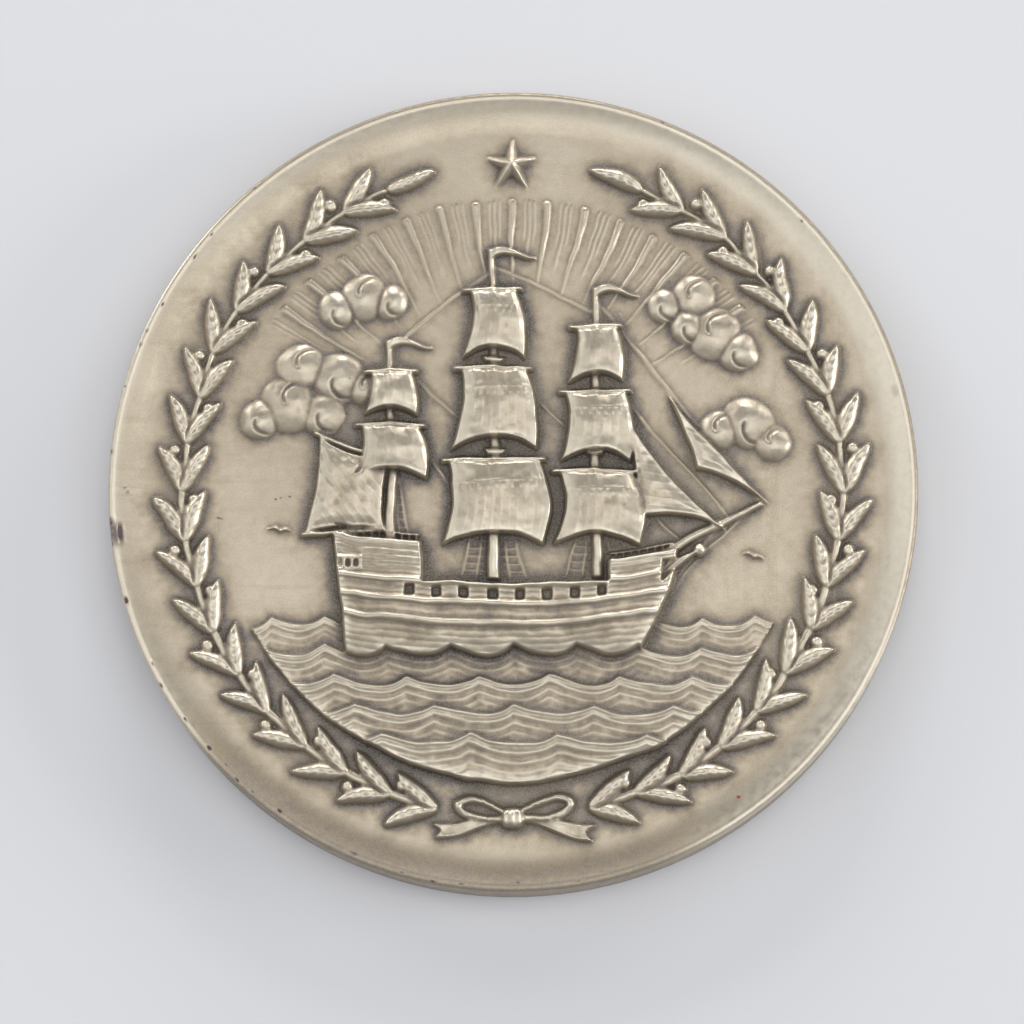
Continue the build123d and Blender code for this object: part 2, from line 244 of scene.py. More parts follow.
@dataclass
class Relief:
    """The struck surface as heights above the field, on a square raster."""

    half_width: float = 29.2
    pitch: float = 0.04
    axis: Array = field(init=False)
    height: Array = field(init=False)

    def __post_init__(self) -> None:
        """Lay out a flat field."""
        count = int(round(2.0 * self.half_width / self.pitch)) + 1
        self.axis = np.linspace(-self.half_width, self.half_width, count)
        self.height = np.zeros((count, count))

    def patch(self, low: Point, high: Point) -> Patch:
        """The window between two corners.

        Args:
            low: Its left and lower limits.
            high: Its right and upper limits.

        Returns:
            The window's slices and its X and Y grids.
        """
        spans = []
        for lower, upper in zip(low, high):
            start = max(int((lower + self.half_width) / self.pitch), 0)
            spans.append(slice(start, int((upper + self.half_width) / self.pitch) + 2))
        x, y = np.meshgrid(self.axis[spans[0]], self.axis[spans[1]])
        return Patch((spans[1], spans[0]), x, y)

    def around(self, centre: Point, reach: float) -> Patch:
        """The square window of this reach around a point."""
        return self.patch((centre[0] - reach, centre[1] - reach), (centre[0] + reach, centre[1] + reach))

    def along(self, start: Point, end: Point, reach: float) -> Patch:
        """The window that holds a line and this reach around it."""
        low = (min(start[0], end[0]) - reach, min(start[1], end[1]) - reach)
        return self.patch(low, (max(start[0], end[0]) + reach, max(start[1], end[1]) + reach))

    def lay(self, patch: Patch, height: Array | float, mask: Array) -> None:
        """Lay a motif over what is there: old times (1 - mask) plus new times mask."""
        self.height[patch.place] = self.height[patch.place] * (1.0 - mask) + height * mask

    def raise_to(self, patch: Patch, height: Array) -> None:
        """Keep the higher of what is there and the motif."""
        self.height[patch.place] = np.maximum(self.height[patch.place], height)

    def lift(self, patch: Patch, rise: Array) -> None:
        """Add a rise to what is there."""
        self.height[patch.place] += rise

    def blurred(self, values: Array, spread: float) -> Array:
        """Blur a map of the raster: its Fourier transform times e to -2 (pi spread f)^2.

        Args:
            values: A map on this raster.
            spread: The Gaussian's standard deviation.

        Returns:
            The blurred map.
        """
        rows = np.fft.fftfreq(values.shape[0], self.pitch)[:, None]
        columns = np.fft.rfftfreq(values.shape[1], self.pitch)[None, :]
        gain = np.exp(-2.0 * (math.pi * spread) ** 2 * (rows**2 + columns**2))
        return np.fft.irfft2(np.fft.rfft2(values) * gain, s=values.shape)

    def drift(self, seed: int, spread: float) -> Array:
        """Smooth seeded noise over the raster: white noise, blurred, brought to a spread of 1."""
        noise = self.blurred(np.random.default_rng(seed).standard_normal(self.height.shape), spread)
        return noise / noise.std()

    def read(self, values: Array, x: Array, y: Array) -> Array:
        """Read a map between its cells: the four nearest cells, weighted by nearness along X and Y.

        Args:
            values: A map on this raster.
            x: X of the points.
            y: Y of the points.

        Returns:
            The map's values at the points.
        """
        across = np.clip((x + self.half_width) / self.pitch, 0.0, len(self.axis) - 1.001)
        up = np.clip((y + self.half_width) / self.pitch, 0.0, len(self.axis) - 1.001)
        column, row = across.astype(int), up.astype(int)
        right, above = across - column, up - row
        lower = values[row, column] * (1.0 - right) + values[row, column + 1] * right
        upper = values[row + 1, column] * (1.0 - right) + values[row + 1, column + 1] * right
        return lower * (1.0 - above) + upper * above


@dataclass
class LaurelBorder:
    """Two laurel branches round the field: stems, paired leaves and berries."""

    sizes: MedalSizes
    branch_start: float = 13.0
    branch_end: float = 157.0
    leaf_pairs: int = 17
    leaf_edge: float = 0.3
    leaf_ridge: float = 0.8
    leaf_curl: float = 0.44
    vein_spacing: float = 0.8
    vein_slant: float = 1.3
    vein_depth: float = 0.035
    midrib_depth: float = 0.2
    midrib_width: float = 0.1
    stem_width: float = 0.8
    stem_height: float = 0.45
    stem_taper: float = 0.45
    berry_radius: float = 0.5
    berry_lift: float = 0.12
    berry_reach: float = 0.95
    berry_share: float = 0.86
    eye_offset: float = 0.08
    eye_depth: float = 0.12
    eye_width: float = 0.1

    def carve(self, relief: Relief) -> None:
        """Carve the stems, then each pair of leaves with its berry, from the foot upwards."""
        self._carve_stems(relief)
        step = (self.branch_end - self.branch_start) / self.leaf_pairs
        for side in (1, -1):
            for pair in range(self.leaf_pairs):
                angle = self.branch_start + step * pair
                for turn in (-self.sizes.leaf_spread, self.sizes.leaf_spread):
                    self._carve_leaf(relief, side, angle, turn)
                reach = self.berry_reach if pair % 2 else -self.berry_reach
                self._carve_berry(relief, side, angle + step * self.berry_share, reach)
            self._carve_leaf(relief, side, self.branch_end, 0.0)

    def _place(self, side: int, angle: float, reach: float = 0.0) -> Point:
        """The point on a stem at an angle counted from the foot, moved outwards by the reach."""
        turn = math.radians(angle - 90.0)
        distance = self.sizes.branch_radius + reach
        return side * distance * math.cos(turn), distance * math.sin(turn)

    def _carve_stems(self, relief: Relief) -> None:
        """Carve both stems: a round bar along the circle, thinner towards its tip."""
        radius = self.sizes.branch_radius
        patch = relief.around(AXIS, radius + 1.0)
        angle = np.degrees(np.arctan2(np.abs(patch.x), -patch.y))
        across = np.abs(patch.away(AXIS) - radius)
        ends = np.radians(least(angle - self.branch_start, self.branch_end - angle)) * radius
        half = self.stem_width / 2.0 * (1.0 - self.stem_taper * ease((angle - 20.0) / 140.0))
        crown = 0.35 + 0.65 * round_over(1.0, across / half)
        relief.lay(patch, self.stem_height * crown, cover(half - across, 0.08) * cover(ends, 0.3))

    def _carve_leaf(self, relief: Relief, side: int, angle: float, turn: float) -> None:
        """Carve one leaf: two faces that fall from a midrib to a low edge, with a grooved rib and veins.

        The half width along the leaf is u^0.5 (1 - u)^0.62 over its greatest value, and the leaf bends by a
        parabola.

        Args:
            relief: The raster.
            side: 1 for the right branch, -1 for the left one.
            angle: The leaf's place, counted from the foot.
            turn: The angle by which it leaves the stem, 0 for a leaf at the tip.
        """
        start = self._place(side, angle)
        length = self.sizes.leaf_length
        patch = relief.around(start, length + 0.4)
        along, across = patch.seen(side).turned((side * start[0], start[1]), math.radians(angle + turn))
        share = unit(along / length)
        across = across + (math.copysign(self.leaf_curl, turn) if turn else 0.0) * hump(share) * 0.5
        outline = share**0.5 * (1.0 - share) ** 0.62 / 0.489
        half = self.sizes.leaf_width / 2.0 * np.maximum(outline, 1e-3)
        inside = least(half - np.abs(across), along, length - along)
        side_share = unit(np.abs(across) / half)
        roof = (self.leaf_ridge - self.leaf_edge) * (1.0 - side_share**1.5) * (0.72 + 0.28 * outline)
        vein_run = (share * length - self.vein_slant * np.abs(across)) / self.vein_spacing
        veins = self.vein_depth * np.cos(2.0 * math.pi * vein_run) * (1.0 - side_share) * ease(4.0 * share)
        midrib = self.midrib_depth * ridge(across, self.midrib_width) * (1.0 - 0.6 * share)
        relief.lay(patch, self.leaf_edge + roof - midrib + veins, cover(inside, 0.11))

    def _carve_berry(self, relief: Relief, side: int, angle: float, reach: float) -> None:
        """Carve one berry: half a ball with a dimple at its eye."""
        centre = self._place(side, angle, reach)
        patch = relief.around(centre, self.berry_radius + 0.2)
        away = patch.away(centre)
        eye = patch.away((centre[0] + self.eye_offset, centre[1] - self.eye_offset))
        ball = round_over(self.berry_radius, away) + self.berry_lift
        ball = ball - self.eye_depth * ridge(eye, self.eye_width)
        relief.raise_to(patch, ball * cover(self.berry_radius - away))


@dataclass
class GuideStar:
    """The five-pointed star at the top of the border, with facets that meet on ridges."""

    sizes: MedalSizes
    radius: float = 2.3
    waist: float = 0.42
    height: float = 0.95
    edge: float = 0.12

    def carve(self, relief: Relief) -> None:
        """Carve the star: a pyramid whose outline at each turn is the line from a point to a notch."""
        centre = (0.0, self.sizes.branch_radius)
        patch = relief.around(centre, self.radius + 0.3)
        fifth = 2.0 * math.pi / 5.0
        bearing = np.arctan2(patch.x, patch.y - centre[1])
        turn = np.abs((bearing + fifth / 2.0) % fifth - fifth / 2.0)
        notch_along = self.waist * math.cos(fifth / 2.0)
        notch_across = self.waist * math.sin(fifth / 2.0)
        outline = notch_across / (np.cos(turn) * notch_across + np.sin(turn) * (1.0 - notch_along))
        share = patch.away(centre) / (self.radius * outline)
        inside = (1.0 - share) * self.radius * outline * 0.6
        relief.lay(patch, self.edge + self.height * unit(1.0 - share), cover(inside, 0.09))


@dataclass
class RibbonBow:
    """The bow that ties the branches: two loops, two notched tails and a knot."""

    sizes: MedalSizes
    loop_length: float = 4.8
    loop_width: float = 2.5
    loop_band: float = 0.7
    loop_tilt: float = 14.0
    bow_height: float = 0.7
    knot_width: float = 1.9
    knot_length: float = 1.7
    knot_height: float = 1.15
    tail_length: float = 6.4
    tail_width: float = 1.15
    tail_notch: float = 0.7
    tail_droop: float = 11.0
    tail_height: float = 0.45
    tail_sway: float = 0.16
    fold_height: float = 0.13
    hem_height: float = 0.07
    pleat_height: float = 0.06
    crease_height: float = 0.09
    crease_spacing: float = 0.62

    def carve(self, relief: Relief) -> None:
        """Carve the tails, then the loops over them, then the knot."""
        foot = -self.sizes.branch_radius
        reach = self.tail_length + 0.5
        patch = relief.patch((-reach, foot - 3.2), (reach, foot + 3.2))
        for carve in (self._carve_tail, self._carve_loop):
            for side in (1, -1):
                carve(relief, patch.seen(side, foot))
        self._carve_knot(relief, patch.seen(1, foot))

    def _carve_tail(self, relief: Relief, patch: Patch) -> None:
        """Carve one tail: a ribbon with sine-wave folds, a raised hem and a notched end."""
        along, across = patch.turned(AXIS, math.radians(-self.tail_droop))
        across = across - self.tail_sway * np.sin(2.0 * math.pi * along / self.tail_length)
        half = self.tail_width / 2.0 * (0.62 + 0.42 * ease(along / self.tail_length))
        notch = self.tail_length - self.tail_notch * (1.0 - np.abs(across) / half)
        inside = least(half - np.abs(across), along, (notch - along) * 0.8)
        fold = self.fold_height * np.sin(2.0 * math.pi * along / (0.47 * self.tail_length) + 0.8)
        hem = self.hem_height * ridge(half - np.abs(across) - 0.14, 0.09)
        relief.lay(patch, self.tail_height + fold + hem, cover(inside))

    def _carve_loop(self, relief: Relief, patch: Patch) -> None:
        """Carve one loop: a band between two ellipses, crowned like a sine, with pleats at the knot."""
        along, across = patch.turned(AXIS, math.radians(self.loop_tilt))
        half_length, half_width = self.loop_length / 2.0, self.loop_width / 2.0
        taper = 0.55 + 0.45 * ease(along / self.loop_length)
        outer = np.hypot((along - half_length) / half_length, across / (half_width * taper))
        inner_length, inner_width = half_length - self.loop_band, half_width - self.loop_band
        inner = np.hypot((along - half_length * 1.02) / inner_length, across / (inner_width * taper))
        band = least((1.0 - outer) * half_width, (inner - 1.0) * inner_width)
        crown = np.sin(math.pi * unit((1.0 - outer) * half_width / self.loop_band))
        pleats = self.pleat_height * np.cos(9.0 * np.arctan2(across, along - half_length))
        relief.raise_to(patch, 0.12 * cover(1.0 - outer))
        relief.lay(patch, self.bow_height * (0.62 + 0.38 * crown) + pleats, cover(band))

    def _carve_knot(self, relief: Relief, patch: Patch) -> None:
        """Carve the knot: a pillow inside a rounded square, creased along Y."""
        across = np.abs(patch.x) / (self.knot_width / 2.0)
        up = np.abs(patch.y) / (self.knot_length / 2.0)
        share = (across**3 + up**3) ** (1.0 / 3.0)
        pillow = unit(1.0 - share**2.4) ** 0.5
        crease = self.crease_height * np.cos(2.0 * math.pi * patch.x / self.crease_spacing) * pillow
        top = self.tail_height + (self.knot_height - self.tail_height) * pillow + crease
        relief.lay(patch, top, cover((1.0 - share) * 0.85))


@dataclass
class Sea:
    """Rows of waves with pointed crests, each row nearer, longer and higher than the one behind it."""

    sizes: MedalSizes
    length: float = 4.2
    growth: float = 0.16
    height: float = 0.5
    rise: float = 0.24
    lean: float = 0.3
    lip: float = 0.3
    lip_fall: float = 0.55
    groove_spacing: float = 0.52
    groove_depth: float = 0.14
    groove_fall: float = 1.1
    trough: float = 0.16
    settle: float = 0.1

    def crest(self, row: int, x: Array) -> tuple[Array, Array]:
        """A row's crest line: hollow arcs between pointed crests, which lean with the wind.

        Args:
            row: The row, counted from the horizon.
            x: X of the points.

        Returns:
            Y of the crest line, and the share along each wave.
        """
        level = self.sizes.horizon - self.sizes.wave_spacing * row
        length = self.length * (1.0 + self.growth * row)
        waves = 2 * math.ceil(self.sizes.scene_radius / length) + 1
        share = ((x + length * (waves + row % 2) / 2.0) / length) % 1.0
        return level - self.sizes.wave_depth * hump(share ** (1.0 + self.lean)) ** 0.9, share

    def carve_row(self, relief: Relief, row: int) -> None:
        """Carve one row: a lip that falls away from its crest, and grooves that fade with depth."""
        reach = self.sizes.scene_radius + 0.3
        level = self.sizes.horizon - self.sizes.wave_spacing * row
        patch = relief.patch((-reach, -reach), (reach, level + 0.3))
        crest, share = self.crest(row, patch.x)
        below = crest - patch.y
        depth = np.clip(below, 0.0, None)
        swell = 0.5 + 0.5 * np.cos(2.0 * math.pi * (share - 0.02))
        lip = self.lip * np.exp(-depth / self.lip_fall) * (0.35 + 0.65 * swell)
        spacing = self.groove_spacing * (1.0 + 0.1 * row)
        grooves = 0.5 - 0.5 * np.cos(2.0 * math.pi * below / spacing)
        grooves = self.groove_depth * grooves * np.exp(-depth / (self.groove_fall + 0.3 * row))
        top = self.height + self.rise * row - self.trough
        top = top + lip - grooves - self.settle * ease(below / self.sizes.wave_spacing)
        relief.lay(patch, top, cover(least(below, self.sizes.scene_radius - patch.away(AXIS))))


@dataclass
class Sky:
    """Rays that widen upwards, with fine strokes between them, cloud puffs and small birds."""

    sizes: MedalSizes
    ray_count: int = 15
    ray_spread: float = 116.0
    ray_centre: float = 3.0
    ray_start: float = 13.0
    ray_width: float = 3.6
    ray_height: float = 0.18
    strokes: tuple[tuple[float, float, float, float], ...] = ((0.5, 0.07, 1.5, 0.09), (0.36, 0.06, 3.2, 0.06))
    cloud_height: float = 0.6
    swirl_depth: float = 0.24
    swirl_width: float = 0.17
    bird_height: float = 0.3
    puffs: tuple[Triple, ...] = (
        (-0.86, 0.24, 0.070),
        (-0.76, 0.29, 0.100),
        (-0.65, 0.26, 0.080),
        (-0.72, 0.42, 0.085),
        (-0.60, 0.38, 0.095),
        (-0.50, 0.34, 0.065),
        (-0.60, 0.62, 0.065),
        (-0.51, 0.66, 0.080),
        (-0.41, 0.64, 0.060),
        (0.88, 0.16, 0.065),
        (0.80, 0.22, 0.090),
        (0.70, 0.19, 0.070),
        (0.60, 0.56, 0.065),
        (0.69, 0.53, 0.090),
        (0.77, 0.47, 0.070),
        (0.62, 0.66, 0.075),
        (0.52, 0.63, 0.060),
    )
    birds: tuple[tuple[float, float, float, float], ...] = (
        (16.6, -2.9, 2.3, 12.0),
        (18.8, -5.4, 1.7, -8.0),
        (-18.3, -3.4, 2.0, -10.0),
    )

    def carve(self, relief: Relief) -> None:
        """Carve the rays, then the clouds over them, then the birds."""
        self._carve_rays(relief)
        for number, puff in enumerate(self.puffs):
            self._carve_puff(relief, puff, 1 if number % 2 else -1)
        for bird in self.birds:
            self._carve_bird(relief, bird)

    def _carve_rays(self, relief: Relief) -> None:
        """Carve wedges at even angles about the rays' centre, with finer strokes between them.

        Each stroke has its place as a share of the step from ray to ray, its width, how much farther out
        than the rays it starts, and its rise.
        """
        radius = self.sizes.scene_radius
        patch = relief.patch((-radius, 0.0), (radius, radius + 0.2))
        distance = patch.away((0.0, self.ray_centre))
        beyond = distance - self.ray_start
        angle = np.degrees(np.arctan2(patch.x, patch.y - self.ray_centre))
        step = self.ray_spread / (self.ray_count - 1)
        number = np.clip(np.round(angle / step), -(self.ray_count // 2), self.ray_count // 2)
        off = np.abs(angle - number * step)
        widening = math.sin(math.radians(self.ray_width / 2.0))
        half = beyond * widening * self.sizes.diameter / (self.sizes.diameter - self.ray_start)
        inside = half - np.radians(off) * distance
        edge = cover(radius - patch.away(AXIS), 0.25)
        crown = 0.55 + 0.45 * unit(inside / np.maximum(half, 0.05))
        relief.raise_to(patch, self.ray_height * crown * cover(inside, 0.12) * edge * (half > 0.0))
        within = edge * (np.abs(angle) < self.ray_spread / 2.0 + step / 2.0)
        for place, width, later, rise in self.strokes:
            away = np.radians(np.abs(off - step * place)) * distance
            relief.lift(patch, rise * ridge(away, width) * ease((beyond - later) / 1.8) * within)

    def _carve_puff(self, relief: Relief, puff: Triple, way: int) -> None:
        """Carve one puff: the cap of a ball, with a spiral groove.

        Args:
            relief: The raster.
            puff: X, Y and radius as shares of the scene's radius.
            way: 1 or -1, the way the spiral turns.
        """
        across, up, size = (share * self.sizes.scene_radius for share in puff)
        patch = relief.around((across, up), size)
        away = patch.away((across, up))
        ball = cap(size, self.cloud_height, away) + self.cloud_height
        swirl = np.arctan2(patch.y - up, patch.x - across) + way * 2.4 * away / size
        groove = self.swirl_depth * ridge(off_line(swirl, 2.0 * math.pi) * away, self.swirl_width)
        groove = groove * ease(away / size * 3.0) * ease((1.0 - away / size) * 3.0)
        relief.raise_to(patch, np.where(ball > 0.0, ball * 1.12 - groove + 0.06, -1.0))

    def _carve_bird(self, relief: Relief, bird: tuple[float, float, float, float]) -> None:
        """Carve one bird: two wings whose line is x^0.6 - 0.95 x^1.9, thinner to their tips."""
        across, up, span, tilt = bird
        patch = relief.around((across, up), span)
        along, above = patch.turned((across, up), math.radians(tilt))
        share = np.abs(along) / (span / 2.0)
        wing = 0.27 * span * (share**0.6 - 0.95 * share**1.9)
        thick = 0.14 * unit(1.0 - share) ** 0.6 + 0.01
        inside = least(thick - np.abs(above - wing), (1.0 - share) * span * 0.3)
        relief.lay(patch, self.bird_height, cover(inside))


@dataclass
class ShipLines:
    """The ship's main lines, which its hull and its rig share: the main mast is measured from the waist."""

    sizes: MedalSizes
    length: float = 27.0
    centre: float = -0.6
    main_mast: float = 26.4
    freeboard: float = 3.0
    draught: float = 0.15
    stem_rake: float = 3.4
    poop_length: float = 7.0
    poop_height: float = 2.9
    forecastle_length: float = 5.4
    forecastle_height: float = 1.5

    @property
    def waist(self) -> float:
        """Height of the rail at the ends of the waist."""
        return self.sizes.horizon + self.freeboard

    @property
    def foot(self) -> float:
        """Height of the hull's lowest line, under the first row of waves."""
        return self.sizes.horizon - self.sizes.wave_spacing - self.sizes.wave_depth - self.draught

    @property
    def poop(self) -> float:
        """Height of the poop deck's fore end."""
        return self.waist + self.poop_height

    @property
    def forecastle(self) -> float:
        """Height of the forecastle deck's after end."""
        return self.waist + self.forecastle_height

    @property
    def stern(self) -> float:
        """X of the hull's after end."""
        return self.centre - self.length / 2.0

    @property
    def stem(self) -> float:
        """X of the hull's fore end."""
        return self.centre + self.length / 2.0

    def along(self, share: float) -> float:
        """The X at a share of the hull's length from its middle."""
        return self.centre + self.length * share

    def up(self, share: float) -> float:
        """The Y at a share of the main mast's height above the waist."""
        return self.waist + self.main_mast * share


@dataclass
class Hull:
    """The hull: rounded planking, wales, gun ports, stern windows, deck rails and a scrolled beak."""

    lines: ShipLines
    height: float = 2.2
    edge: float = 1.3
    sheer_sag: float = 0.5
    deck_rise: float = 0.7
    stern_rake: float = 1.2
    wale_count: int = 3
    wale_width: float = 0.42
    wale_height: float = 0.2
    wale_spacing: float = 1.5
    plank_spacing: float = 0.5
    plank_depth: float = 0.06
    port_count: int = 8
    port_size: float = 0.72
    port_depth: float = 0.42
    port_spacing: float = 2.15
    frame_width: float = 0.13
    frame_height: float = 0.09
    cap_rail_height: float = 0.16
    gallery_length: float = 2.05
    gallery_half: float = 0.62
    gallery_height: float = 0.14
    pane_spacing: float = 0.62
    pane_depth: float = 0.34
    rail_height: float = 0.55
    rail_level: float = 0.62
    post_spacing: float = 0.6
    knee_length: float = 3.0
    knee_level: float = 0.95
    scroll_radius: float = 0.48

    def carve(self, relief: Relief) -> None:
        """Carve the planked side with its ports and windows, then the deck rails and the beak."""
        ship = self.lines
        patch = relief.patch(
            (ship.stern - 0.6, ship.foot - 0.4), (ship.stem + 2.4, ship.poop + self.deck_rise + 1.4)
        )
        deck = self._deck(patch.x)
        self._carve_side(relief, patch, deck)
        self._carve_rails(relief, patch, deck)
        self._carve_beak(relief)

    def _sheer(self, x: Array) -> Array:
        """The waist's rail: a parabola that sags amidships."""
        share = np.clip((x - self.lines.centre) / (self.lines.length / 2.0), -1.0, 1.0)
        return self.lines.waist - self.sheer_sag * (1.0 - share**2)

    def _deck(self, x: Array) -> Array:
        """The upper edge of the side: the poop, the waist and the forecastle, each rising to the ends."""
        ship = self.lines
        aft = (ship.stern + ship.poop_length - x) / ship.poop_length
        fore = (x - ship.stem + ship.forecastle_length) / ship.forecastle_length
        poop = ship.poop + self.deck_rise * np.clip(aft, 0.0, 1.2)
        forecastle = ship.forecastle + self.deck_rise * np.clip(fore, 0.0, 1.2)
        return np.where(aft > 0.0, poop, np.where(fore > 0.0, forecastle, self._sheer(x)))

    def _end(self, deck: float, y: Array) -> Array:
        """How far an end of the hull has yet to lean out: 1 at the foot, and 0 at the top of this deck."""
        return 1.0 - unit((y - self.lines.foot) / (deck + self.deck_rise - self.lines.foot))

    def _carve_side(self, relief: Relief, patch: Patch, deck: Array) -> None:
        """Carve the side: a cylinder's cap from rail to keel, with plank seams, wales, ports and windows."""
        ship = self.lines
        x, y = patch.x, patch.y
        aft = ship.stern + self.stern_rake * self._end(ship.poop, y)
        bow = ship.stem - ship.stem_rake * self._end(ship.forecastle, y) ** 1.7
        inside = least(x - aft, bow - x, deck - y)
        middle = (ship.poop + ship.foot) / 2.0
        body = self.height + cap(ship.poop - middle, self.height - self.edge, y - middle)
        body = body * (1.0 - 0.3 * ease((np.abs(x - ship.centre) - 0.3 * ship.length) / (0.22 * ship.length)))
        share = np.clip((x - ship.centre) / (ship.length / 2.0), -1.0, 1.0)
        drop = self._sheer(x) + self.deck_rise * share**2 - y
        wales = np.zeros_like(x)
        for plank in range(self.wale_count):
            off = np.abs(drop - self.wale_spacing * plank - self.wale_width / 2.0)
            wales = np.maximum(wales, cover(self.wale_width / 2.0 - off, 0.09))
        seams = self.plank_depth * ridge(off_line(drop, self.plank_spacing), 0.045) * (1.0 - wales)
        rail = cover(0.24 - np.abs(deck - y - 0.16), 0.09)
        frames, ports = self._ports(x, y)
        gallery, panes = self._stern_windows(x, y)
        top = body - seams + self.wale_height * wales + self.cap_rail_height * rail
        top = top + self.frame_height * frames - self.port_depth * ports
        relief.lay(patch, top + self.gallery_height * gallery - self.pane_depth * panes, cover(inside))

    def _ports(self, x: Array, y: Array) -> tuple[Array, Array]:
        """Masks of the gun ports' frames and openings: squares in a row that follows the sheer."""
        ship = self.lines
        line = ship.waist - self.sheer_sag - (self.wale_spacing + self.wale_width) / 2.0
        frames, ports = np.zeros_like(x), np.zeros_like(x)
        for number in range(self.port_count):
            across = ship.centre + self.port_spacing * (number - (self.port_count - 1) / 2.0)
            share = (across - ship.centre) / (ship.length / 2.0)
            up = line + (self.deck_rise + self.sheer_sag) * share**2
            box = self.port_size / 2.0 - np.maximum(np.abs(x - across), np.abs(y - up))
            port = cover(box, 0.08)
            frames = np.maximum(frames, cover(box + self.frame_width, 0.08) - port)
            ports = np.maximum(ports, port)
        return frames, ports

    def _stern_windows(self, x: Array, y: Array) -> tuple[Array, Array]:
        """Masks of the stern gallery and of its panes: three in a row."""
        start, up = self.lines.stern + 0.25, self.lines.waist + 1.25
        off = np.abs(y - up)
        gallery = cover(least(x - start, start + self.gallery_length - x, self.gallery_half - off))
        panes = cover(0.17 - np.abs(off_line(x - start - 0.05, self.pane_spacing)), 0.07)
        return gallery, gallery * panes * cover(0.32 - off, 0.07)

    def _carve_rails(self, relief: Relief, patch: Patch, deck: Array) -> None:
        """Carve the rails of the poop and the forecastle: a bar on evenly spaced posts."""
        ship = self.lines
        x = patch.x
        aft = (x > ship.stern + 0.2) & (x < ship.stern + ship.poop_length - 0.1)
        fore = (x > ship.stem - ship.forecastle_length + 0.1) & (x < ship.stem - 0.4)
        above = patch.y - deck
        bar = cover(0.09 - np.abs(above - self.rail_height), 0.08)
        posts = cover(0.07 - np.abs(off_line(x, self.post_spacing)), 0.07)
        posts = posts * cover(least(above, self.rail_height - above), 0.08)
        relief.lay(patch, self.rail_level, np.maximum(bar, posts) * (aft | fore))

    def _carve_beak(self, relief: Relief) -> None:
        """Carve the knee under the bowsprit: a curved wedge with grooves, ending in a scroll."""
        ship = self.lines
        tip = ship.forecastle + self.deck_rise
        patch = relief.patch((ship.stem - 1.6, tip - 3.2), (ship.stem + 2.6, tip + 1.2))
        along = patch.x - ship.stem + 1.2
        share = unit(along / self.knee_length)
        above = patch.y - (tip - 2.7 + 2.5 * share**0.8)
        under = tip - 0.9 + 0.9 * share**1.6 - patch.y
        inside = least(under, above, along, self.knee_length - along)
        relief.lay(patch, self.knee_level + 0.1 * np.cos(4.0 * math.pi * above), cover(inside))
        away = patch.away((ship.stem + 1.75, tip - 0.15))
        scroll = 0.75 + 0.3 * unit(1.0 - (away / self.scroll_radius) ** 2)
        scroll = scroll - 0.12 * ridge(away - self.scroll_radius / 2.0, 0.07)
        relief.lay(patch, scroll, cover(self.scroll_radius - away, 0.09))


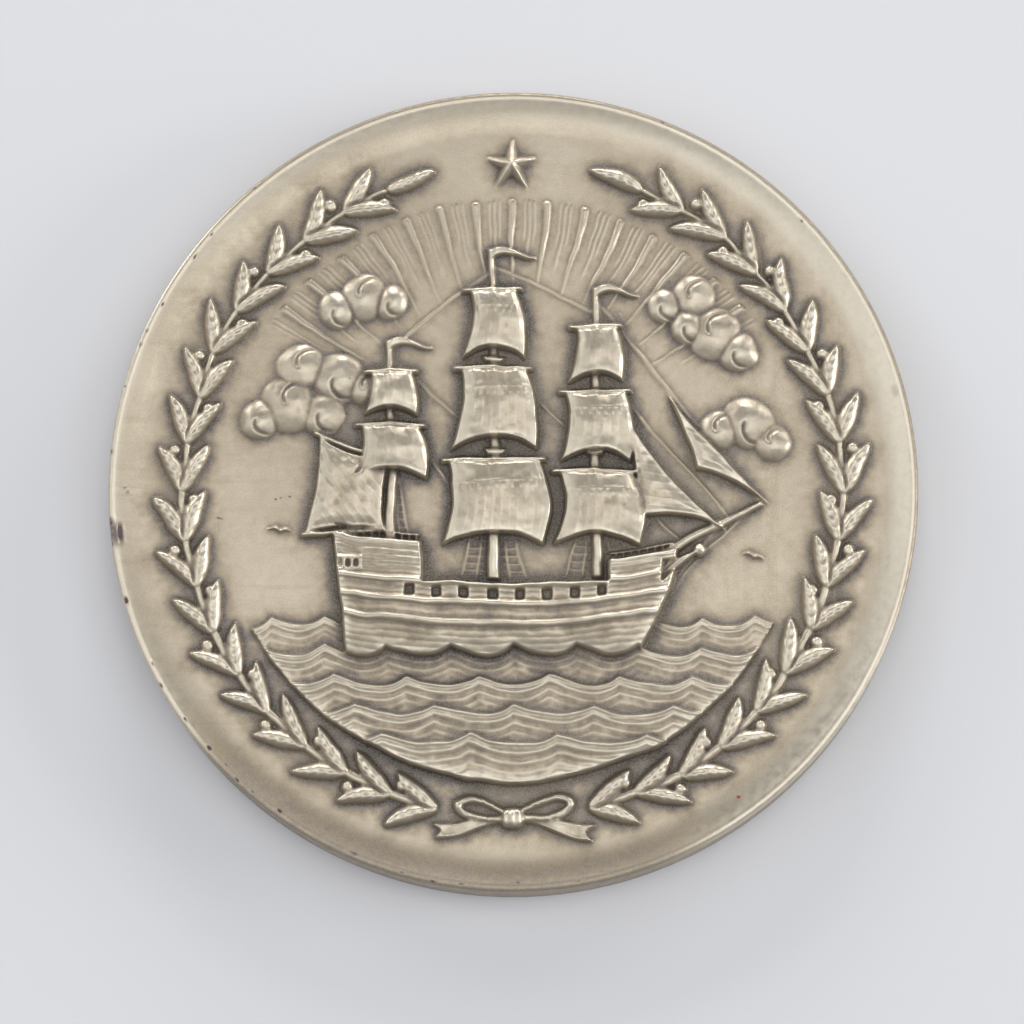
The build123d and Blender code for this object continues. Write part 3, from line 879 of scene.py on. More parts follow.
@dataclass
class Rig:
    """The rig: masts, tops, yards, bowsprit, stays, shrouds, sails and pennants."""

    lines: ShipLines
    bowsprit_length: float = 9.6
    mast_radius: float = 0.5
    mast_tip_radius: float = 0.26
    mast_level: float = 0.25
    yard_radius: float = 0.3
    yard_overhang: float = 0.55
    bowsprit_angle: float = 28.0
    pennant_length: float = 3.4
    pennant_width: float = 0.85
    pennant_wave: float = 0.385
    pennant_height: float = 0.5
    platform_shares: Point = (0.385, 0.655)
    platform_height: float = 0.85
    gaff_level: float = 0.55
    sail_height: float = 1.5
    free_sail_height: float = 1.1
    sail_edge: float = 0.75
    sail_blow: float = 0.09
    foot_arch: float = 0.16
    cloth_width: float = 0.62
    seam_height: float = 0.035
    reef_height: float = 0.05
    reef_point_height: float = 0.09
    reef_point_spacing: float = 0.62
    reefed_from: float = 4.5
    rope_height: float = 0.1
    shrouds: int = 5
    shroud_strand: Point = (0.085, 0.2)
    rung_strand: Point = (0.06, 0.14)
    rung_spacing: float = 0.62
    masts: dict[str, Point] = field(
        default_factory=lambda: {"mizzen": (-0.335, 0.72), "main": (-0.035, 1.00), "fore": (0.265, 0.88)}
    )
    square_sails: tuple[tuple[str, float, float, float, float], ...] = (
        ("mizzen", 0.46, 0.31, 0.165, 0.210),
        ("mizzen", 0.62, 0.49, 0.120, 0.155),
        ("main", 0.36, 0.10, 0.265, 0.290),
        ("main", 0.63, 0.39, 0.200, 0.255),
        ("main", 0.87, 0.66, 0.130, 0.185),
        ("fore", 0.32, 0.10, 0.225, 0.250),
        ("fore", 0.56, 0.35, 0.170, 0.215),
        ("fore", 0.76, 0.59, 0.115, 0.155),
    )
    gaff_sail: tuple[Point, ...] = ((-0.350, 0.35), (-0.545, 0.43), (-0.580, 0.13), (-0.350, 0.15))
    jibs: tuple[tuple[Point, ...], ...] = (
        ((0.300, 0.62), (0.640, 0.14), (0.385, 0.19)),
        ((0.335, 0.80), (0.765, 0.23), (0.560, 0.32)),
    )
    sail_hollows: tuple[float, ...] = (0.05, 0.07, 0.05)

    def carve(self, relief: Relief) -> None:
        """Carve the ropes first, then the spars, then the sails in front of them, then the pennants."""
        self._carve_shrouds(relief)
        self._carve_stays(relief)
        for share, top in self.masts.values():
            start = (self.lines.along(share), self.lines.waist)
            end = (start[0], self.lines.up(top))
            self._carve_spar(relief, start, end, (self.mast_radius, self.mast_tip_radius), self.mast_level)
            for level in self.platform_shares:
                if level < top - 0.1:
                    self._carve_platform(relief, (start[0], self.lines.up(level * (0.86 + 0.14 * top))))
        sprit = (self.mast_radius * 0.9, self.mast_tip_radius * 0.8)
        self._carve_spar(relief, self._on_bowsprit(0.0), self._on_bowsprit(1.0), sprit, self.mast_level)
        for corners, hollow in zip((self.gaff_sail, *self.jibs), self.sail_hollows):
            self._carve_free_sail(relief, corners, hollow)
        throat, peak, clew, tack = (self._corner(corner) for corner in self.gaff_sail)
        self._carve_spar(relief, throat, (peak[0] - 0.4, peak[1] + 0.3), (0.24, 0.16), self.gaff_level)
        self._carve_spar(relief, tack, (clew[0] - 0.3, clew[1] - 0.13), (0.24, 0.18), self.gaff_level)
        for sail in sorted(self.square_sails, key=lambda row: row[1]):
            self._carve_square_sail(relief, *sail)
        for share, top in self.masts.values():
            self._carve_pennant(relief, (self.lines.along(share), self.lines.up(top)))

    def _corner(self, shares: Point) -> Point:
        """The point at shares of the hull's length and of the main mast."""
        return self.lines.along(shares[0]), self.lines.up(shares[1])

    def _on_bowsprit(self, share: float) -> Point:
        """The point at a share of the bowsprit, from its heel."""
        reach = share * self.bowsprit_length
        turn = math.radians(self.bowsprit_angle)
        heel = self.lines.stem - self.lines.stem_rake / 2.0
        return heel + reach * math.cos(turn), self.lines.forecastle + reach * math.sin(turn)

    def _carve_spar(self, relief: Relief, start: Point, end: Point, radii: Point, level: float) -> None:
        """Carve a spar: half a tapered round, the root of r^2 - d^2, at a level above the field.

        Args:
            relief: The raster.
            start: Its foot.
            end: Its tip.
            radii: Its radius at the foot and at the tip.
            level: Height of its axis above the field.
        """
        span = math.dist(start, end)
        patch = relief.along(start, end, radii[0] + 0.3)
        along, across = patch.beside(start, end)
        radius = radii[0] + (radii[1] - radii[0]) * unit(along / span)
        top = level + round_over(radius, across)
        inside = least(radius - np.abs(across), along, span - along)
        above = top > relief.height[patch.place] - 0.25
        relief.lay(patch, top, cover(inside, 0.08) * above)

    def _carve_rope(
        self,
        relief: Relief,
        start: Point,
        end: Point,
        width: float = 0.13,
        rise: float = 0.16,
        sag: float = 0.0,
    ) -> None:
        """Carve a rope between two points: a rounded ridge, hanging by a parabola.

        Args:
            relief: The raster.
            start: Its first end.
            end: Its other end.
            width: How far from its middle it falls to 1/e of its rise.
            rise: Its rise above the field.
            sag: How far its middle hangs down.
        """
        span = math.dist(start, end)
        patch = relief.along(start, end, 0.4 + abs(sag))
        along, across = patch.beside(start, end)
        across = across + sag * hump(along / span)
        relief.raise_to(patch, rise * ridge(across, width) * cover(least(along, span - along)))

    def _carve_platform(self, relief: Relief, centre: Point) -> None:
        """Carve a masthead platform, wider at its upper edge."""
        patch = relief.around(centre, 1.4)
        across, up = patch.x - centre[0], patch.y - centre[1]
        half = 0.62 + 0.34 * unit((up + 0.3) / 0.6)
        relief.lay(patch, self.platform_height, cover(least(half - np.abs(across), 0.24 - np.abs(up))))

    def _carve_shrouds(self, relief: Relief) -> None:
        """Carve the shrouds: ropes that fan from each lower mast's head to the rail, with rungs.

        Each row has the mast, half the width of its fan, the level of its foot, and its head's share of the
        main mast. A strand is a rope's width and rise.
        """
        poop, waist = self.lines.poop, self.lines.waist
        rows = (("mizzen", 1.7, poop, 0.36), ("main", 2.5, waist, 0.37), ("fore", 2.5, waist, 0.33))
        for name, spread, foot, head_share in rows:
            middle = self.lines.along(self.masts[name][0])
            head = self.lines.up(head_share)
            for offset in np.linspace(-spread, spread, self.shrouds):
                low, high = (middle + offset, foot), (middle + offset * 0.12, head)
                self._carve_rope(relief, low, high, *self.shroud_strand)
            for rung in range(1, int((head - foot) / self.rung_spacing)):
                up = foot + self.rung_spacing * rung
                half = spread * (1.0 - 0.88 * (up - foot) / (head - foot))
                self._carve_rope(relief, (middle - half, up), (middle + half, up), *self.rung_strand)

    def _carve_stays(self, relief: Relief) -> None:
        """Carve the stays from mast to mast, to the bowsprit and to the stern."""
        ship, sprit = self.lines, self._on_bowsprit

        def on(mast: str, share: float) -> Point:
            """The point on a mast at a share of the main mast's height."""
            return self._corner((self.masts[mast][0], share))

        for start, end, sag in (
            (on("fore", 0.84), sprit(0.99), 0.0),
            (on("fore", 0.64), sprit(0.70), 0.0),
            (on("fore", 0.36), sprit(0.25), 0.0),
            (on("main", 0.66), on("fore", 0.38), 0.0),
            (on("main", 0.95), on("fore", 0.80), 0.0),
            (on("mizzen", 0.66), on("main", 0.40), 0.0),
            (on("mizzen", 0.50), on("main", 0.15), 0.0),
            (on("main", 0.93), on("mizzen", 0.68), 0.25),
            (on("mizzen", 0.70), (ship.stern + 0.4, ship.poop + 0.6), -0.15),
            (sprit(0.95), (ship.stem - 0.8, ship.waist - 1.4), 0.3),
            (sprit(0.65), (ship.stem - 0.9, ship.waist - 1.2), 0.2),
        ):
            self._carve_rope(relief, start, end, sag=sag)

    def _carve_square_sail(
        self, relief: Relief, mast: str, head: float, foot: float, head_width: float, foot_width: float
    ) -> None:
        """Carve a square sail with its yard: swollen cloths, a reef band with its points, and bolt ropes.

        The swelling is (1 - u^2)^0.6 across times a sine down the sail, and its sides blow to the bow.

        Args:
            relief: The raster.
            mast: The mast that carries it.
            head: Height of its yard, as a share of the main mast.
            foot: Height of its foot, as a share of the main mast.
            head_width: Width at the yard, as a share of the hull's length.
            foot_width: Width at the foot, as a share of the hull's length.
        """
        middle = self.lines.along(self.masts[mast][0])
        top, bottom = self.lines.up(head), self.lines.up(foot)
        drop = top - bottom
        head_half, foot_half = self.lines.length * head_width / 2.0, self.lines.length * foot_width / 2.0
        patch = relief.patch((middle - foot_half - 1.5, bottom - 0.6), (middle + foot_half + 1.5, top + 0.8))
        down = (top - patch.y) / drop
        share = unit(down)
        half = head_half + (foot_half - head_half) * share
        across = patch.x - middle - self.sail_blow * drop * hump(share)
        width_share = across / half
        belly = unit(1.0 - width_share**2)
        edge = least(half - np.abs(across), patch.y - bottom - self.foot_arch * drop * belly)
        swell = belly**0.6 * np.sin(math.pi * (0.12 + 0.8 * share)) ** 0.8
        cloth = self.sail_edge + (self.sail_height - self.sail_edge) * 1.15 * swell
        cloth = cloth + 0.06 * np.cos(3.0 * math.pi * width_share) * np.exp(-3.5 * share)
        seams = off_line(across * head_half / half + self.cloth_width / 2.0, self.cloth_width)
        cloth = cloth + self.seam_height * ridge(seams, 0.05)
        if drop > self.reefed_from:
            cloth = cloth + self.reef_height * ridge((down - 0.24) * drop, 0.07)
            beyond = np.clip(np.abs((down - 0.3) * drop) - 0.18, 0.0, None)
            points = ridge(off_line(across, self.reef_point_spacing), 0.05) * ridge(beyond, 0.05)
            cloth = cloth + self.reef_point_height * points
        cloth = cloth + self.rope_height * ridge(edge - 0.08, 0.08)
        relief.lay(patch, cloth, cover(least(edge, top - patch.y), 0.09))
        radii = (self.yard_radius, self.yard_radius * 0.55)
        for side in (-1.0, 1.0):
            end = (middle + side * (head_half + self.yard_overhang), top)
            self._carve_spar(relief, (middle, top), end, radii, self.sail_edge)

    def _carve_free_sail(self, relief: Relief, corners: tuple[Point, ...], hollow: float) -> None:
        """Carve a jib or the gaff sail: a ball's cap inside hollow edges, with seams along its leech.

        Args:
            relief: The raster.
            corners: Its corners, as shares of the hull's length and of the main mast.
            hollow: How far each edge curves inwards, as a share of its length.
        """
        points = np.array([self._corner(corner) for corner in corners])
        middle = points.mean(axis=0)
        patch = relief.patch(tuple(points.min(axis=0) - 0.5), tuple(points.max(axis=0) + 0.5))
        inside = np.full_like(patch.x, 99.0)
        for here, there in zip(points, np.roll(points, -1, axis=0)):
            run, inwards = there - here, middle - here
            span = float(np.hypot(*run))
            along, across = patch.beside(here, there)
            side = math.copysign(1.0, run[0] * inwards[1] - run[1] * inwards[0])
            inside = least(inside, side * across - hollow * span * hump(along / span))
        reach = float(np.max(np.hypot(*(points - middle).T)))
        cloth = self.free_sail_height + cap(reach, self.free_sail_height - self.sail_edge, patch.away(middle))
        across = patch.beside(points[1], points[-1])[1]
        cloth = cloth + self.seam_height * ridge(off_line(across, self.cloth_width), 0.05)
        cloth = cloth + self.rope_height * ridge(inside - 0.08, 0.08) + 0.22 * ease(inside) - 0.16
        relief.lay(patch, cloth, cover(inside, 0.09))

    def _carve_pennant(self, relief: Relief, root: Point) -> None:
        """Carve a pennant: a tapering band along a sine, rippled across its length."""
        length = self.pennant_length
        patch = relief.patch((root[0] - 0.3, root[1] - 1.6), (root[0] + length + 0.3, root[1] + 0.9))
        along = patch.x - root[0]
        share = unit(along / length)
        wave = self.pennant_wave * np.sin(1.6 * math.pi * share) * (1.0 - 0.25 * share)
        half = self.pennant_width / 2.0 * (1.0 - 0.86 * share)
        off = np.abs(patch.y - root[1] + self.pennant_width / 2.0 - wave)
        ripple = 0.12 * np.sin(3.2 * math.pi * along / length + 0.5)
        relief.lay(patch, self.pennant_height + ripple, cover(least(half - off, along, length - along), 0.09))


class MarkKind(Enum):
    """What a mark on the metal is, as its depth in millimetres, its darkness and its redness."""

    CHIP = (0.14, 0.9, 0.0)
    SCAR = (0.08, 0.62, 0.0)
    PIT = (0.05, 0.75, 0.0)
    SPOT = (0.0, 0.7, 0.0)
    SMUDGE = (0.0, 0.25, 0.0)
    RED_SPOT = (0.0, 0.1, 1.0)


@dataclass(frozen=True)
class Mark:
    """One mark of use: its place, half its length and width, and its turn from +X."""

    x: float
    y: float
    length: float
    width: float
    turn: float

    def reach(self, x: Array, y: Array) -> Array:
        """How strongly the mark shows: e to -d^4, with d the distance in half lengths and widths."""
        turn = math.radians(self.turn)
        along = (x - self.x) * math.cos(turn) + (y - self.y) * math.sin(turn)
        across = (y - self.y) * math.cos(turn) - (x - self.x) * math.sin(turn)
        return np.exp(-(((along / self.length) ** 2 + (across / self.width) ** 2) ** 2))


MARKS = {
    MarkKind.CHIP: (
        (-30.75, -3.5, 0.85, 0.25, 96.0),
        (-30.2, -8.9, 0.28, 0.16, 106.0),
        (-23.6, -20.5, 0.26, 0.14, 131.0),
        (-18.1, -25.4, 0.24, 0.12, 145.0),
    ),
    MarkKind.SCAR: ((-31.2, -3.5, 1.0, 0.45, 96.0),),
    MarkKind.PIT: (
        (-31.5, -2.65, 0.34, 0.22, 94.0),
        (-31.5, -4.4, 0.3, 0.24, 97.0),
        (-31.3, -6.1, 0.5, 0.06, 101.0),
        (-20.4, 24.0, 0.16, 0.08, 40.0),
        (-23.8, 20.3, 0.14, 0.09, 50.0),
        (-25.1, 18.5, 0.2, 0.08, 55.0),
        (-27.6, 14.7, 0.16, 0.09, 62.0),
        (-28.8, 12.6, 0.12, 0.08, 66.0),
        (-29.3, 11.5, 0.17, 0.1, 69.0),
        (-30.5, 8.1, 0.15, 0.07, 75.0),
        (-31.5, 2.9, 0.2, 0.09, 85.0),
        (-30.4, 0.1, 0.16, 0.06, 20.0),
        (-30.2, -0.2, 0.12, 0.05, 120.0),
        (-28.1, -13.8, 0.14, 0.08, 116.0),
        (-27.4, -15.6, 0.24, 0.1, 120.0),
        (-25.5, -18.2, 0.16, 0.1, 125.0),
        (-22.3, -21.8, 0.16, 0.08, 135.0),
        (-21.4, -23.0, 0.22, 0.1, 136.0),
        (-20.2, -23.9, 0.14, 0.09, 140.0),
        (-12.3, -28.7, 0.28, 0.14, 157.0),
        (-8.6, -30.2, 0.16, 0.08, 164.0),
        (-6.2, -30.9, 0.18, 0.1, 169.0),
        (-4.0, -31.1, 0.2, 0.09, 173.0),
        (0.4, -31.0, 0.16, 0.09, 0.0),
        (5.1, -30.9, 0.13, 0.07, 9.0),
        (11.9, 29.2, 0.14, 0.08, 158.0),
        (22.8, 21.2, 0.14, 0.08, 133.0),
    ),
    MarkKind.SMUDGE: ((30.0, 7.6, 0.5, 0.25, 104.0),),
    MarkKind.SPOT: (
        (-23.0, -2.3, 0.32, 0.07, -12.0),
        (-18.6, -0.8, 0.1, 0.08, 0.0),
        (-18.2, -0.7, 0.08, 0.08, 0.0),
        (-17.5, -0.6, 0.1, 0.08, 0.0),
        (-20.5, 7.0, 0.1, 0.08, 0.0),
        (-13.1, 6.0, 0.1, 0.08, 0.0),
        (-12.8, 8.7, 0.08, 0.08, 0.0),
    ),
    MarkKind.RED_SPOT: ((17.5, -24.3, 0.18, 0.15, 0.0),),
}


class Channel(Enum):
    """The mesh attributes that the metal's finish reads."""

    # Patina in the face's hollows; on the rim it also carries painted shade and darkening.
    PATINA = "patina"
    # Wear on the crests; on the rim it also carries painted highlights.
    POLISH = "polish"
    # Stains of the marks; on the edge wall it also carries painted shade.
    STAIN = "stain"
    RED = "red_spot"


@dataclass
class Surface:
    """Points of a piece with their normals and finish channels, before they become a mesh."""

    points: Array
    normals: Array
    channels: dict[Channel, Array]


def mark_channels(x: Array, y: Array) -> tuple[Array, Array, Array]:
    """Add up the marks of use at some points.

    Args:
        x: X of the points.
        y: Y of the points.

    Returns:
        Depth of the dents, darkness of the stains, and redness.
    """
    depth, stain, red = np.zeros_like(x), np.zeros_like(x), np.zeros_like(x)
    for kind, rows in MARKS.items():
        sunk, dark, redness = kind.value
        for row in rows:
            reach = Mark(*row).reach(x, y)
            depth = depth + sunk * reach
            stain = np.maximum(stain, dark * reach)
            red = np.maximum(red, redness * reach)
    return depth, stain, red


@dataclass
class StruckFace:
    """The finished face: struck heights and their slopes, with maps of patina and polish."""

    sizes: MedalSizes
    relief: Relief
    die_softness: float = 0.07
    foot_softness: float = 0.45
    foot_rise: float = 0.1
    foot_reach: float = 0.15
    hand_sway: Point = (0.09, 0.03)
    hand_swell: float = 0.04
    tool_marks: Point = (0.022, 0.006)
    field_sway: Point = (0.010, 0.0012)
    hollows: tuple[Triple, ...] = ((0.16, 0.05, 0.65), (0.45, 0.14, 0.9), (1.2, 0.32, 0.3))
    rub_spread: float = 0.4
    rub_full: float = 0.16
    rub_level: float = 0.5
    height: Array = field(init=False)
    slope_x: Array = field(init=False)
    slope_y: Array = field(init=False)
    patina: Array = field(init=False)
    polish: Array = field(init=False)

    def __post_init__(self) -> None:
        """Soften the carving as a die does, and work out where patina stays and where metal is rubbed.

        The field rises to the foot of each form by a broader blur, which fades as e to minus the height.
        """
        carved = self._hand_cut()
        soft = np.maximum(self.relief.blurred(carved, self.die_softness), 0.0)
        foot = np.clip(self.relief.blurred(carved, self.foot_softness) - 0.5 * soft, 0.0, None)
        self.height = soft + self.foot_rise * foot * np.exp(-soft / self.foot_reach)
        broad, fine = self.field_sway
        self.height += broad * self.relief.drift(8, 2.2) + fine * self.relief.drift(9, 0.25)
        self.slope_y, self.slope_x = np.gradient(self.height, self.relief.pitch)
        self._weather()

    def _hand_cut(self) -> Array:
        """Give the carving a sculptor's hand: lines that sway a little, and forms that swell and dip.

        Each point is read from beside it, by two sizes of smooth noise, and its height is then
        multiplied by 1 plus broad noise and moved by two sizes of tool marks.

        Returns:
            The uneven carving.
        """
        drift = self.relief.drift
        x, y = np.meshgrid(self.relief.axis, self.relief.axis)
        broad, fine = self.hand_sway
        x = x + broad * drift(1, 1.6) + fine * drift(3, 0.5)
        y = y + broad * drift(2, 1.6) + fine * drift(4, 0.5)
        carved = self.relief.read(self.relief.height, x, y)
        marks = self.tool_marks[0] * drift(6, 0.35) + self.tool_marks[1] * drift(7, 0.13)
        return carved * (1.0 + self.hand_swell * drift(5, 0.9)) + marks * ease(carved / 0.3)

    def _weather(self) -> None:
        """Map the patina and the polish.

        Patina is 1 - e^-p, with p the sum of how far each point lies under three blurs of the surface.
        Each blur has its spread, the depth that counts as one, and its weight. Polish is how far the point
        stands over a blur, on the higher relief.
        """
        surface = self.height
        under = np.zeros_like(surface)
        for spread, full, weight in self.hollows:
            under += weight * np.clip(self.relief.blurred(surface, spread) - surface, 0.0, None) / full
        self.patina = 1.0 - np.exp(-under)
        proud = np.clip(surface - self.relief.blurred(surface, self.rub_spread), 0.0, None) / self.rub_full
        self.polish = (1.0 - np.exp(-proud)) * ease(surface / self.rub_level)

    def read(self, x: Array, y: Array) -> Surface:
        """Read the face at some points.

        Args:
            x: X of the points.
            y: Y of the points.

        Returns:
            The points at their struck height, with their normals and channels.
        """
        distance = np.hypot(x, y)
        rise, steep = self.sizes.hollow(distance)
        depth, stain, red = mark_channels(x, y)
        level = self.sizes.field_level + rise + self.relief.read(self.height, x, y) - depth
        safe = np.maximum(distance, 1e-6)
        slope_x = self.relief.read(self.slope_x, x, y) + steep * x / safe
        slope_y = self.relief.read(self.slope_y, x, y) + steep * y / safe
        normals = np.stack([-slope_x, -slope_y, np.ones_like(x)], axis=-1)
        normals /= np.linalg.norm(normals, axis=-1, keepdims=True)
        channels = {
            Channel.PATINA: self.relief.read(self.patina, x, y),
            Channel.POLISH: self.relief.read(self.polish, x, y),
            Channel.STAIN: stain,
            Channel.RED: red,
        }
        return Surface(np.stack([x, y, level], axis=-1), normals, channels)


def grid_quads(rows: int, columns: int, closed: bool) -> Array:
    """Corners of the quads of a grid: each joins (i, j), (i+1, j), (i+1, j+1) and (i, j+1).

    Args:
        rows: Rows of points.
        columns: Columns of points.
        closed: Whether the last column joins the first.

    Returns:
        One row of four point numbers for each quad.
    """
    numbers = np.arange(rows * columns).reshape(rows, columns)
    if closed:
        numbers = np.concatenate([numbers, numbers[:, :1]], axis=1)
    corners = [numbers[:-1, :-1], numbers[1:, :-1], numbers[1:, 1:], numbers[:-1, 1:]]
    return np.stack([corner.ravel() for corner in corners], axis=-1)


def band_quads(first: Array, second: Array) -> Array:
    """Quads that join two loops of point numbers."""
    return np.stack([first, second, np.roll(second, -1), np.roll(first, -1)], axis=-1)


def fan(loop: Array, pole: int) -> Array:
    """Triangles that join a loop of point numbers to one point."""
    return np.stack([loop, np.full(len(loop), pole), np.roll(loop, -1)], axis=-1)


def turns(steps: int) -> Array:
    """Evenly spaced angles round a full turn, in radians."""
    return np.arange(steps) * 2.0 * math.pi / steps


def round_points(distance: Array, level: Array | float, turn: Array) -> Array:
    """Rings of points: the distance times the turn's cosine and sine, at this level."""
    x, y = distance * np.cos(turn), distance * np.sin(turn)
    return np.stack([x, y, np.broadcast_to(level, x.shape)], axis=-1)


def at_level(points: Array, level: float) -> Array:
    """The points, moved straight up or down to one level."""
    return np.stack([points[..., 0], points[..., 1], np.full(points.shape[:-1], level)], axis=-1)


def make_piece(
    name: str, surface: Surface, quads: Array, triangles: Array, material: bpy.types.Material
) -> None:
    """Turn a surface into a smooth-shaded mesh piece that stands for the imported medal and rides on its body.

    Args:
        name: The piece's name.
        surface: Its points, normals and channels, flattened.
        quads: Point numbers of its quads.
        triangles: Point numbers of its triangles, such as a fan round a pole.
        material: Its finish.
    """
    corners = np.concatenate([quads.ravel(), triangles.ravel()])
    mesh = bpy.data.meshes.new(name)
    mesh.vertices.add(len(surface.points))
    mesh.vertices.foreach_set("co", (surface.points * MM).astype(np.float32).ravel())
    mesh.loops.add(len(corners))
    mesh.loops.foreach_set("vertex_index", corners.astype(np.int32))
    mesh.polygons.add(len(quads) + len(triangles))
    starts = np.concatenate([np.arange(len(quads)) * 4, quads.size + np.arange(len(triangles)) * 3])
    mesh.polygons.foreach_set("loop_start", starts.astype(np.int32))
    for channel, values in surface.channels.items():
        layer = mesh.attributes.new(channel.value, "FLOAT", "POINT")
        layer.data.foreach_set("value", values.astype(np.float32))
    mesh.update(calc_edges=True)
    mesh.validate()
    mesh.polygons.foreach_set("use_smooth", np.ones(len(mesh.polygons), dtype=bool))
    mesh.normals_split_custom_set_from_vertices(surface.normals.astype(np.float32))
    mesh.materials.append(material)
    piece = bpy.data.objects.new(name, mesh)
    bpy.context.scene.collection.objects.link(piece)
    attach(piece, BODY)
    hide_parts(NODE)
    log.info("%s: %d points, %d faces", name, len(mesh.vertices), len(mesh.polygons))


def flattened(surface: Surface, extra: Surface) -> Surface:
    """Flatten a grid of points to a list, and put extra points after it."""
    points = np.concatenate([surface.points.reshape(-1, 3), extra.points.reshape(-1, 3)])
    normals = np.concatenate([surface.normals.reshape(-1, 3), extra.normals.reshape(-1, 3)])
    channels = {
        channel: np.concatenate([values.ravel(), extra.channels[channel].ravel()])
        for channel, values in surface.channels.items()
    }
    return Surface(points, normals, channels)


def plain(points: Array, normal: Triple) -> Surface:
    """Points with one normal and empty channels, for walls that nobody sees."""
    normals = np.broadcast_to(np.array(normal), points.shape)
    return Surface(points, normals, {channel: np.zeros(points.shape[:-1]) for channel in Channel})


@dataclass
class LaurelBand:
    """The ring of the face that carries the laurel, the star and the bow."""

    sizes: MedalSizes
    face: StruckFace
    inner: float = BAND_INNER
    outer: float = BAND_OUTER
    wall_depth: float = 0.45
    wall_lean: float = 0.05
    steps_round: int = 1560
    steps_across: int = 50

    def build(self, material: bpy.types.Material) -> None:
        """Build the ring: rings of struck points, with a wall down from each edge and a flat underside.

        Args:
            material: Its finish.
        """
        turn = turns(self.steps_round)
        distance = np.linspace(self.inner, self.outer, self.steps_across + 1)[:, None]
        top = self.face.read(distance * np.cos(turn), distance * np.sin(turn))
        under = np.array([[self.outer - self.wall_lean], [self.inner + self.wall_lean]])
        under = round_points(under, self.sizes.field_level - self.wall_depth, turn)
        surface = flattened(top, plain(under, (0.0, 0.0, -1.0)))
        rows = self.steps_across + 3
        first = np.arange(self.steps_round)
        closing = band_quads((rows - 1) * self.steps_round + first, first)
        quads = np.concatenate([grid_quads(rows, self.steps_round, True), closing])
        make_piece("laurel_band", surface, quads, np.empty((0, 3), int), material)


class Quarter(Enum):
    """The quarters of the scene, as the signs of their X and Y."""

    UPPER_RIGHT = (1, 1)
    UPPER_LEFT = (-1, 1)
    LOWER_LEFT = (-1, -1)
    LOWER_RIGHT = (1, -1)


@dataclass
class SceneDisc:
    """The round middle of the face, in four quarters that meet on the axes."""

    sizes: MedalSizes
    face: StruckFace
    radius: float = BAND_INNER
    wall_depth: float = 0.45
    steps: int = 284

    def _quarter_points(self, quarter: Quarter) -> tuple[Array, Array]:
        """A quarter disc as a square grid: rings of the square become rings of the disc.

        The ring is the larger of a and b, and the angle is the smaller over the larger times 45 degrees.

        Args:
            quarter: Which quarter.

        Returns:
            X and Y of the grid's points.
        """
        steps = np.linspace(0.0, 1.0, self.steps + 1)
        a, b = np.meshgrid(steps, steps, indexing="ij")
        ring = np.maximum(a, b)
        share = least(a, b) / np.maximum(ring, 1e-12)
        turn = np.where(b > a, math.pi / 2.0 - math.pi / 4.0 * share, math.pi / 4.0 * share)
        sign_x, sign_y = quarter.value
        return sign_x * self.radius * ring * np.cos(turn), sign_y * self.radius * ring * np.sin(turn)

    def build(self, quarter: Quarter, material: bpy.types.Material) -> None:
        """Build one quarter: struck points, a wall down from its outline, and a fan that closes it.

        Args:
            quarter: Which quarter.
            material: Its finish.
        """
        x, y = self._quarter_points(quarter)
        top = self.face.read(x, y)
        count = self.steps + 1
        numbers = np.arange(count * count).reshape(count, count)
        outline = np.concatenate([numbers[:-1, 0], numbers[-1, :-1], numbers[:0:-1, -1], numbers[0, :0:-1]])
        low = at_level(top.points.reshape(-1, 3)[outline], self.sizes.field_level - self.wall_depth)
        low = np.concatenate([low, low.mean(axis=0, keepdims=True)])
        surface = flattened(top, plain(low, (0.0, 0.0, -1.0)))
        wall = count * count + np.arange(len(outline))
        quads = np.concatenate([grid_quads(count, count, False), band_quads(outline, wall)])
        triangles = fan(wall, count * count + len(outline))
        if quarter.value[0] * quarter.value[1] < 0:
            quads, triangles = quads[:, ::-1], triangles[:, ::-1]
        make_piece(f"scene_{quarter.name.lower()}", surface, quads, triangles, material)


def arc(centre: Point, radius: float, start: float, end: float, steps: int) -> Array:
    """Points of an arc of the profile: the centre plus the radius times cosine and sine.

    Args:
        centre: Its centre, as distance from the axis and height.
        radius: Its radius.
        start: Its first angle in radians, from the outward direction.
        end: Its last angle.
        steps: Number of steps.

    Returns:
        One row of distance and height for each point.
    """
    turn = np.linspace(start, end, steps + 1)
    return np.stack([centre[0] + radius * np.cos(turn), centre[1] + radius * np.sin(turn)], axis=-1)


@dataclass(frozen=True)
class Sector:
    """A sector of the rim: its middle bearing from +X, its half width and the softness of its ends."""

    middle: float
    half: float
    softness: float

    def reach(self, bearing: Array) -> Array:
        """1 inside the sector, eased to 0 at its ends."""
        turned = np.abs((bearing - self.middle + 180.0) % 360.0 - 180.0)
        return ease((self.half - turned) / self.softness)


